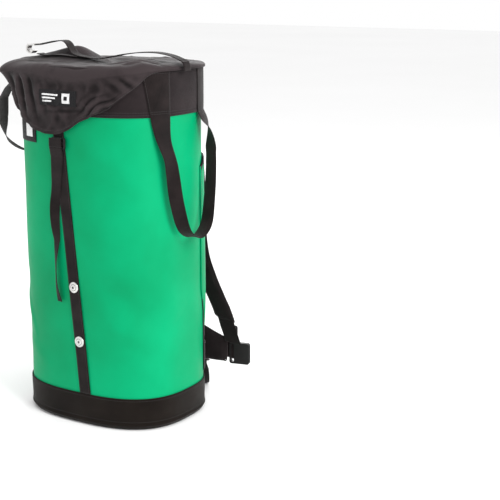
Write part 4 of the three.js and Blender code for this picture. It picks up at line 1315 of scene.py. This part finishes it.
def lid_patch(name, s0, s1, z0, z1, low, high, columns, rows, tilt=0.0):
    outer = np.empty((rows, columns, 3))
    inner = np.empty((rows, columns, 3))
    for j, z in enumerate(np.linspace(z0, z1, rows)):
        for i, s in enumerate(np.linspace(s0, s1, columns)):
            height = z + tilt * (s - s0)
            outer[j, i] = lid_place(s, height, high)
            inner[j, i] = lid_place(s, height, low)
    return skin_solid(name, outer, inner)


def make_lid_label():
    """The woven label on the lid: a plain mark of bars and a small square of its own."""
    label = lid_patch("lid_label_patch", -0.057, 0.033, 0.628, 0.657, 0.2 * MM, 1.3 * MM, 60, 20)
    bevel(label, 0.2 * MM, 1)
    finish_piece(label, "lid", "label", LABEL_BLACK, "lid_label")
    marks = [(-0.050, -0.010, 0.6465, 0.6495), (-0.050, -0.018, 0.6405, 0.6435),
             (-0.050, -0.026, 0.6345, 0.6375), (0.000, 0.018, 0.6335, 0.6515)]
    for index, (s0, s1, z0, z1) in enumerate(marks):
        mark = lid_patch(f"lid_label_mark_{index}", s0, s1, z0, z1, 1.2 * MM, 1.7 * MM, 20, 6)
        finish_piece(mark, "lid", "label", LABEL_WHITE)
    inset = lid_patch("lid_label_inset", 0.0055, 0.0125, 0.639, 0.646, 1.6 * MM, 1.9 * MM, 8, 4)
    finish_piece(inset, "lid", "label", LABEL_BLACK)


make_lid_label()

# ---------------------------------------------------------------------------------------------
# The top strap, its hook and the closure.
# ---------------------------------------------------------------------------------------------

TOP_STRAP = [
    (-128, -58, 733), (-110, -52, 737), (-92, -46, 740.5), (-77, -41, 741), (-69, -41, 737),
    (-61, -42, 728), (-53, -43, 719.5), (-42, -43, 715), (-20, -37, 711), (0, -30, 709),
    (25, -24, 713), (50, -21, 718),
    (90, -20, 723), (130, -19, 724), (160, -18, 720), (178, -17, 714.5), (192, -16, 708.5),
]


def lid_height(x, y):
    return LID_RIM + float(lid_lift(np.array(x), np.array(y)))


def level_strap(name, points, width, body, node=None, across=(0, 1, 0), steps=150, thick=1.7 * MM):
    centre = catmull(np.array(points) * MM, steps)
    along = tangents(centre)
    side = np.tile(np.array(across, float), (steps, 1))
    side = unit(side - along * np.sum(side * along, axis=1, keepdims=True) * 0.35)
    normal = unit(np.cross(along, side))
    normal = normal * np.where(normal[:, 2:3] < 0, -1, 1)
    strap = ribbon(name, centre, side, normal, width, thick)
    finish_piece(strap, body, "black_webbing", BLACK_WEBBING, *([node] if node else []))
    for edge in (-1, 1):
        line = centre + side * edge * (width / 2 - 2.4 * MM) + normal * thick * 0.55
        stitches(f"{name}_stitches_{edge + 1}", line, normal, body)
    return centre, side, normal


def make_top_strap():
    level_strap("top_strap_webbing", TOP_STRAP, 22 * MM, "lid", "top_strap")
    strand = []
    for x, y in ((-124, -60), (-108, -58), (-90, -56), (-72, -54), (-54, -50), (-40, -44)):
        strand.append((x, y, lid_height(x * MM, y * MM) / MM + 1.6))
    strand[0] = (-126, -60, 716)
    level_strap("top_strap_lower", strand, 22 * MM, "lid", steps=70)
    hang = [(184, -16.5, 713), (190, -16, 708.5), (193, -16, 704), (194, -15.8, 698), (193.5, -15.5, 693)]
    centre = catmull(np.array(hang) * MM, 50)
    side = np.tile(np.array([0.0, 1.0, 0.0]), (50, 1))
    normal = unit(np.cross(side, tangents(centre)))
    turn_down = ribbon("top_strap_end", centre, side, normal, 22 * MM, 1.7 * MM)
    finish_piece(turn_down, "lid", "black_webbing", BLACK_WEBBING)


def refine(node, body, slot, material, round_by=0.7 * MM, segments=2, keep_flat=9):
    """Takes a hard CAD part's shape, clears its triangles and rounds its edges."""
    work = bmesh.new()
    work.from_mesh(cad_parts[node].data)
    bmesh.ops.remove_doubles(work, verts=work.verts, dist=1e-5)
    bmesh.ops.dissolve_limit(work, angle_limit=math.radians(keep_flat), verts=work.verts,
                             edges=work.edges, delimit=set())
    mesh = bpy.data.meshes.new(f"{node}_shape")
    work.to_mesh(mesh)
    work.free()
    obj = bpy.data.objects.new(f"{node}_shape", mesh)
    bpy.context.scene.collection.objects.link(obj)
    bevel(obj, round_by, segments, 30)
    mesh.polygons.foreach_set("use_smooth", [True] * len(mesh.polygons))
    normals = obj.modifiers.new("flat_faces", "WEIGHTED_NORMAL")
    normals.keep_sharp = True
    return finish_piece(obj, body, slot, material, node)


TAIL_TOP = 0.5705
BUCKLE_PIVOT = 0.5664
BUCKLE_FOOT = 0.5490
TAIL_END = 0.246


def closure_webbing(name, top, bottom, steps):
    """One stretch of the closure strap's free end, which gets narrower and turns as it hangs."""
    z = np.linspace(top, bottom, steps)
    share = (TAIL_TOP - z) / (TAIL_TOP - TAIL_END)
    s = np.interp(z, [TAIL_END, 0.275, 0.33, 0.42, 0.50, 0.572],
                  [-0.0275, -0.0320, -0.0335, -0.0295, -0.0270, -0.0220])
    s = s + 1.0 * MM * np.sin(share * 11)
    turn = 0.75 * smoothstep(share, 0.25, 0.5) * np.sin(share * 8.0 + 1.3)
    off = np.interp(z, [0.530, 0.552], [4.2 * MM, 9.6 * MM]) + 7.0 * MM * np.abs(np.sin(turn))
    centre = skin(s, z, off)
    around = unit(skin(s + 4 * MM, z, off) - skin(s - 4 * MM, z, off))
    out = unit(skin(s, z, off + 0.01) - centre)
    side = around * np.cos(turn)[:, None] + out * np.sin(turn)[:, None]
    normal = unit(np.cross(side, tangents(centre)))
    width = np.interp(z, [TAIL_END, 0.36, 0.46, 0.53], [12 * MM, 15 * MM, 21 * MM, 31 * MM])
    return ribbon(name, centre, side, normal, width, 1.6 * MM)


def make_closure_tail():
    """The webbing over the closure buckle, which tilts with it, and the free end that hangs below."""
    cover = closure_webbing("closure_buckle_webbing", BUCKLE_PIVOT, BUCKLE_FOOT, 14)
    finish_piece(cover, "closure_buckle", "black_webbing", BLACK_WEBBING)
    tail = closure_webbing("closure_tail_strap", BUCKLE_FOOT - 0.4 * MM, TAIL_END, 160)
    finish_piece(tail, None, "black_webbing", BLACK_WEBBING, "closure_tail")
    bend_at = skin(-0.033, 0.544, 4 * MM)
    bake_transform(tail)


make_top_strap()
refine("top_hook", "top_hook", "steel", STEEL, 0.5 * MM)
refine("closure_buckle", "closure_buckle", "black_plastic", PLASTIC)
make_closure_tail()

# ---------------------------------------------------------------------------------------------
# The harness.
# ---------------------------------------------------------------------------------------------

SHOULDER_ROUTES = {
    "left": [(0, 34, 513), (0, 41, 480), (1, 51, 420), (3, 58, 350), (6, 58, 280), (8, 50, 214)],
    "right": [
        (0, 34, 513), (0, 37, 480), (0, 38, 420), (2, 38, 350), (12, 39, 297), (29, 42, 258),
        (58, 45, 208), (84, 48, 157),
    ],
}
LOWER_ROUTES = {
    "left": [(8, 49, 210), (9, 47, 203), (10, 46, 190), (10, 46, 184)],
    "right": [(83, 46.5, 164), (88, 47.5, 148), (95, 49, 130), (100, 51, 114)],
}
WING_ROUTES = {
    "left": [(-62, 151, 122), (-100, 152, 114), (-138, 151, 98), (-172, 146, 80)],
    "right": [(62, 151, 124), (96, 160, 110), (126, 168, 100), (157, 175, 93)],
}
LOWER_WIDTH = {"left": 25 * MM, "right": 44 * MM}
SIDES = {"left": -1, "right": 1}
PAD_SHARE = 0.84


class Harness:
    """One shoulder strap's own frame: sideways from the middle, off the skin, above the floor."""

    def __init__(self, name):
        self.side = SIDES[name]
        distance = BACK - self.side * HARNESS_SPACING
        along, out = skin_axes(distance)
        self.place = np.array(skin(distance, 0.0, 0.0))
        self.outward = -self.side * np.array(along)
        self.out = np.array(out)

    def at(self, sideways, off, z):
        return self.place + self.outward * sideways + self.out * off + np.array([0, 0, z])

    def route(self, stops):
        return [self.at(*(np.array(stop) * MM)) for stop in stops]

    def fold(self, bar, above):
        turn = []
        for angle in np.linspace(0, math.pi, 13):
            lift = math.sin(angle) if above else -math.sin(angle)
            turn.append(self.at(0, HANG_BAR - FOLD_RADIUS * math.cos(angle), bar + FOLD_RADIUS * lift))
        return turn


def pad_form(name, centre, side, normal, widths, thickness, ring=40):
    """A long closed pad with a rounded edge: thick in the middle and pulled in at its rim."""
    count = len(centre)
    angle = np.linspace(0, 2 * math.pi, ring, endpoint=False)
    flat = np.sign(np.cos(angle)) * np.abs(np.cos(angle)) ** 0.55
    tall = np.sign(np.sin(angle)) * np.abs(np.sin(angle)) ** 0.75
    v = np.linspace(-1, 1, count)
    close = np.clip(1 - np.abs(v) ** 16, 0.02, 1) ** 0.5
    length = lengths_along(centre)[-1]
    corner = np.clip(1 - np.abs(v) ** (length / 0.006), 0.25, 1) ** 0.5
    points = (centre[:, None, :]
              + side[:, None, :] * (flat[None, :, None] * (widths / 2 * corner)[:, None, None])
              + normal[:, None, :] * (tall[None, :, None] * (thickness / 2 * close)[:, None, None]))
    return tube(name, points)


def puff(pad, cap, voxel=4 * MM, pressure=4.0, frames=20):
    """Fills a pad with air in a cloth simulation; each point moves only out of its own face, up to
    cap, so the rim stays on its piping."""
    remesh = pad.modifiers.new("even", "REMESH")
    remesh.mode = "VOXEL"
    remesh.voxel_size = voxel
    bpy.context.view_layer.update()
    shape = bpy.data.meshes.new_from_object(pad.evaluated_get(bpy.context.evaluated_depsgraph_get()))
    pad.modifiers.clear()
    pad.data = shape
    start = np.empty(len(shape.vertices) * 3)
    shape.vertices.foreach_get("co", start)
    start = start.reshape(-1, 3)
    cloth = pad.modifiers.new("air", "CLOTH")
    cloth.settings.use_pressure = True
    cloth.settings.uniform_pressure_force = pressure
    cloth.settings.quality = 5
    cloth.settings.effector_weights.gravity = 0
    cloth.point_cache.frame_start = 1
    cloth.point_cache.frame_end = frames
    scene = bpy.context.scene
    for step in range(1, frames + 1):
        scene.frame_set(step)
    swollen = pad.evaluated_get(bpy.context.evaluated_depsgraph_get()).to_mesh()
    moved = np.empty(len(swollen.vertices) * 3)
    swollen.vertices.foreach_get("co", moved)
    moved = moved.reshape(-1, 3) - start
    pad.modifiers.clear()
    scene.frame_set(1)
    out = np.empty(len(shape.vertices) * 3)
    shape.vertices.foreach_get("normal", out)
    out = out.reshape(-1, 3)
    rise = np.clip(np.sum(moved * out, axis=1, keepdims=True), -0.4 * MM, cap)
    shape.vertices.foreach_set("co", (start + out * rise).ravel())
    shape.polygons.foreach_set("use_smooth", [True] * len(shape.polygons))
    smooth = pad.modifiers.new("soft", "SUBSURF")
    smooth.levels = 1
    smooth.render_levels = 1
    return pad


def piping(name, line, body, radius=1.5 * MM, closed=False, material=None):
    """A round corded edge along points."""
    along = tangents(line)
    up = np.tile(np.array([0.13, 0.31, 0.94]), (len(line), 1))
    a = unit(np.cross(along, up))
    b = np.cross(along, a)
    angle = np.linspace(0, 2 * math.pi, 10, endpoint=False)
    points = (line[:, None, :] + a[:, None, :] * np.cos(angle)[None, :, None] * radius
              + b[:, None, :] * np.sin(angle)[None, :, None] * radius)
    cord = tube(name, points, closed=closed)
    return finish_piece(cord, body, "black_nylon", material or NYLON)


def outline(centre, side, widths, inset, trim=0.012):
    """The line round a long pad, a little inside its rim."""
    run = lengths_along(centre)
    keep = (run > trim) & (run < run[-1] - trim)
    c, s, w = centre[keep], side[keep], widths[keep]
    right = c + s * (w / 2 - inset)[:, None]
    left = c - s * (w / 2 - inset)[:, None]
    line = np.concatenate([right, left[::-1]])
    return catmull(line[::3], 260)


def pad_width(v):
    return 72 * MM * (0.86 + 0.14 * np.sin(math.pi * np.minimum(1, v * 1.3))) * (1 - 0.20 * v * v)


def shoulder_lines(name, steps=90):
    harness = Harness(name)
    centre = catmull(harness.route(SHOULDER_ROUTES[name]), steps)
    along = tangents(centre)
    side = np.tile(harness.outward, (steps, 1))
    normal = unit(np.cross(side, along)) * harness.side
    return harness, centre, side, normal


def make_shoulder(name):
    body = f"shoulder_{name}"
    harness, centre, side, normal = shoulder_lines(name)
    widths = pad_width(np.linspace(0, 1, len(centre)))
    pad = pad_form(f"shoulder_cushion_{name}", centre, side, normal, widths * 1.03,
                   PAD_THICKNESS * PAD_SHARE)
    puff(pad, 2.2 * MM)
    finish_piece(pad, body, "black_nylon", PAD_CLOTH, f"shoulder_pad_{name}")
    piping(f"shoulder_piping_{name}", outline(centre, side, widths, 1.0 * MM, 0.003), body,
           closed=True)
    for index, face in enumerate((1, -1)):
        line = outline(centre, side, widths, 8 * MM) + 0
        lift = catmull(np.concatenate([normal, normal[::-1]])[::3], len(line))
        stitches(f"shoulder_seam_{name}_{index}", line + unit(lift) * face * PAD_THICKNESS * 0.53,
                 unit(lift) * face, body, slot="black_nylon")
    bar = HANG_HEIGHT - ADJUSTER_SIZE + ADJUSTER_BAR
    run = centre[::6] + normal[::6] * (PAD_THICKNESS / 2 + 1.6 * MM)
    points = ([harness.at(0, HANG_BAR - FOLD_RADIUS, bar - 11 * MM)] + harness.fold(bar, True)
              + [harness.at(0, HANG_BAR + FOLD_RADIUS + 1 * MM, bar - 8 * MM)] + list(run))
    line = catmull(points, 260, 1.5)
    across = np.tile(harness.outward, (len(line), 1))
    face = unit(np.cross(across, tangents(line)))
    strap = ribbon(f"shoulder_strap_{name}", line, across, face, 30 * MM, 1.6 * MM)
    finish_piece(strap, body, "black_webbing", BLACK_WEBBING, f"shoulder_webbing_{name}")
    above = catmull(run, 200)
    lift = catmull(normal[::6], 200)
    for edge in (-1, 1):
        stitches(f"shoulder_strap_stitches_{name}_{edge + 1}",
                 above + across[:200] * edge * 12 * MM + unit(lift) * 0.9 * MM, unit(lift), body)
    refine(f"ladder_lock_{name}", f"ladder_lock_{name}", "black_plastic", PLASTIC)


def make_anchor_webbing(name):
    harness = Harness(name)
    points = ([harness.at(0, HANG_BAR - FOLD_RADIUS, 0.648), harness.at(0, HANG_BAR - FOLD_RADIUS, 0.600)]
              + harness.fold(HANG_HEIGHT, False) + [harness.at(0, HANG_BAR + FOLD_RADIUS, 0.602)])
    line = catmull(points, 140)
    across = np.tile(harness.outward, (len(line), 1))
    face = unit(np.cross(across, tangents(line)))
    strap = ribbon(f"anchor_strap_{name}", line, across, face, 32 * MM, 1.6 * MM)
    finish_piece(strap, "bag", "black_webbing", BLACK_WEBBING, f"anchor_webbing_{name}")
    for index, z in enumerate((0.6275, 0.6425)):
        t = np.linspace(-13 * MM, 13 * MM, 24)
        row = harness.at(0, HANG_BAR - FOLD_RADIUS + 1.0 * MM, z) + harness.outward * t[:, None]
        stitches(f"anchor_strap_stitches_{name}_{index}", row, np.tile(harness.out, (24, 1)), "bag")


def make_adjuster(name):
    """The oval adjuster, with a lighter grey rim on its outer face."""
    refine(f"adjuster_{name}", f"adjuster_{name}", "black_plastic", PLASTIC, 1.2 * MM, 3)
    harness = Harness(name)
    middle = harness.at(0, HANG_BAR + 2.2 * MM, HANG_HEIGHT + ADJUSTER_BAR / 2 - ADJUSTER_SIZE / 2)
    angle = np.linspace(0, 2 * math.pi, 120, endpoint=False)
    across = np.sign(np.cos(angle)) * np.abs(np.cos(angle)) ** 0.55 * 22.6 * MM
    up = np.sign(np.sin(angle)) * np.abs(np.sin(angle)) ** 0.55 * 20.6 * MM
    line = middle + harness.outward * across[:, None] + np.array([0, 0, 1.0]) * up[:, None]
    rim = piping(f"adjuster_rim_{name}", line, f"adjuster_{name}", 0.9 * MM, closed=True,
                 material=RIM_PLASTIC)


def make_lower(name):
    harness = Harness(name)
    line = catmull(harness.route(LOWER_ROUTES[name]), 40)
    across = np.tile(harness.outward, (len(line), 1))
    face = unit(np.cross(across, tangents(line)))
    strap = ribbon(f"lower_strap_{name}", line, across, face, LOWER_WIDTH[name], 1.7 * MM)
    finish_piece(strap, f"lower_{name}", "black_webbing", BLACK_WEBBING, f"lower_webbing_{name}")
    refine(f"lower_buckle_{name}", f"lower_{name}", "black_plastic", PLASTIC)


WING_THICKNESS = 0.012


def make_wing(name):
    body = f"hip_wing_{name}"
    centre = catmull(np.array(WING_ROUTES[name]) * MM, 80)
    side = np.tile(np.array([0.0, 0.0, 1.0]), (len(centre), 1))
    normal = unit(np.cross(side, tangents(centre)))
    normal = normal * np.where(normal[:, 1:2] < 0, -1, 1)
    share = np.linspace(0, 1, len(centre))
    widths = lerp(92 * MM, 50 * MM, share)
    pad = pad_form(f"hip_cushion_{name}", centre, side, normal, widths * 1.03, WING_THICKNESS * 0.85)
    puff(pad, 2.4 * MM)
    finish_piece(pad, body, "black_nylon", PAD_CLOTH, f"hip_wing_{name}")
    piping(f"hip_piping_{name}", outline(centre, side, widths, 1.0 * MM, 0.003), body, closed=True)
    for index, inset in enumerate((7 * MM, 15 * MM)):
        line = outline(centre, side, widths, inset)
        lift = unit(catmull(np.concatenate([normal, normal[::-1]])[::3], len(line)))
        stitches(f"hip_seam_{name}_{index}", line + lift * WING_THICKNESS * 0.52, lift, body,
                 slot="black_nylon")
    last = 80 if name == "left" else 72
    run = [centre[i] + normal[i] * (WING_THICKNESS / 2 + 1.7 * MM) for i in range(24, last, 5)]
    step = unit(centre[-1] - centre[-4])
    tip = centre[-1] + normal[-1] * (WING_THICKNESS / 2 + 1.5 * MM)
    run = run + [tip, tip + step * 14 * MM]
    line = catmull(run, 110)
    across = np.tile(np.array([0.0, 0.0, 1.0]), (len(line), 1))
    face = unit(np.cross(across, tangents(line)))
    face = face * np.where(face[:, 1:2] < 0, -1, 1)
    strap = ribbon(f"hip_strap_{name}", line, across, face, 38 * MM, 1.7 * MM)
    finish_piece(strap, body, "black_webbing", BLACK_WEBBING, f"hip_webbing_{name}")
    for edge in (-1, 1):
        stitches(f"hip_strap_stitches_{name}_{edge + 1}",
                 line[4:84] + across[4:84] * edge * 16 * MM + face[4:84] * 1.0 * MM, face[4:84], body)


# A lighter grey plastic for the thin ring on each adjuster's outer rim.
RIM_PLASTIC = moulded_plastic("light_rim_plastic", (0.16, 0.155, 0.15))
for strap_name in SIDES:
    make_anchor_webbing(strap_name)
    make_adjuster(strap_name)
    make_shoulder(strap_name)
    make_lower(strap_name)
    make_wing(strap_name)
refine("hip_buckle_male", "hip_buckle_male", "black_plastic", PLASTIC, 0.8 * MM)
refine("hip_buckle_female", "hip_buckle_female", "black_plastic", PLASTIC, 1.0 * MM, 3)

# ---------------------------------------------------------------------------------------------
# The CAD parts that stay, and the end.
# ---------------------------------------------------------------------------------------------

for washer in ("rivet_upper_washer", "rivet_lower_washer"):
    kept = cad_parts[washer]
    kept.data.materials.clear()
    kept.data.materials.append(STEEL)
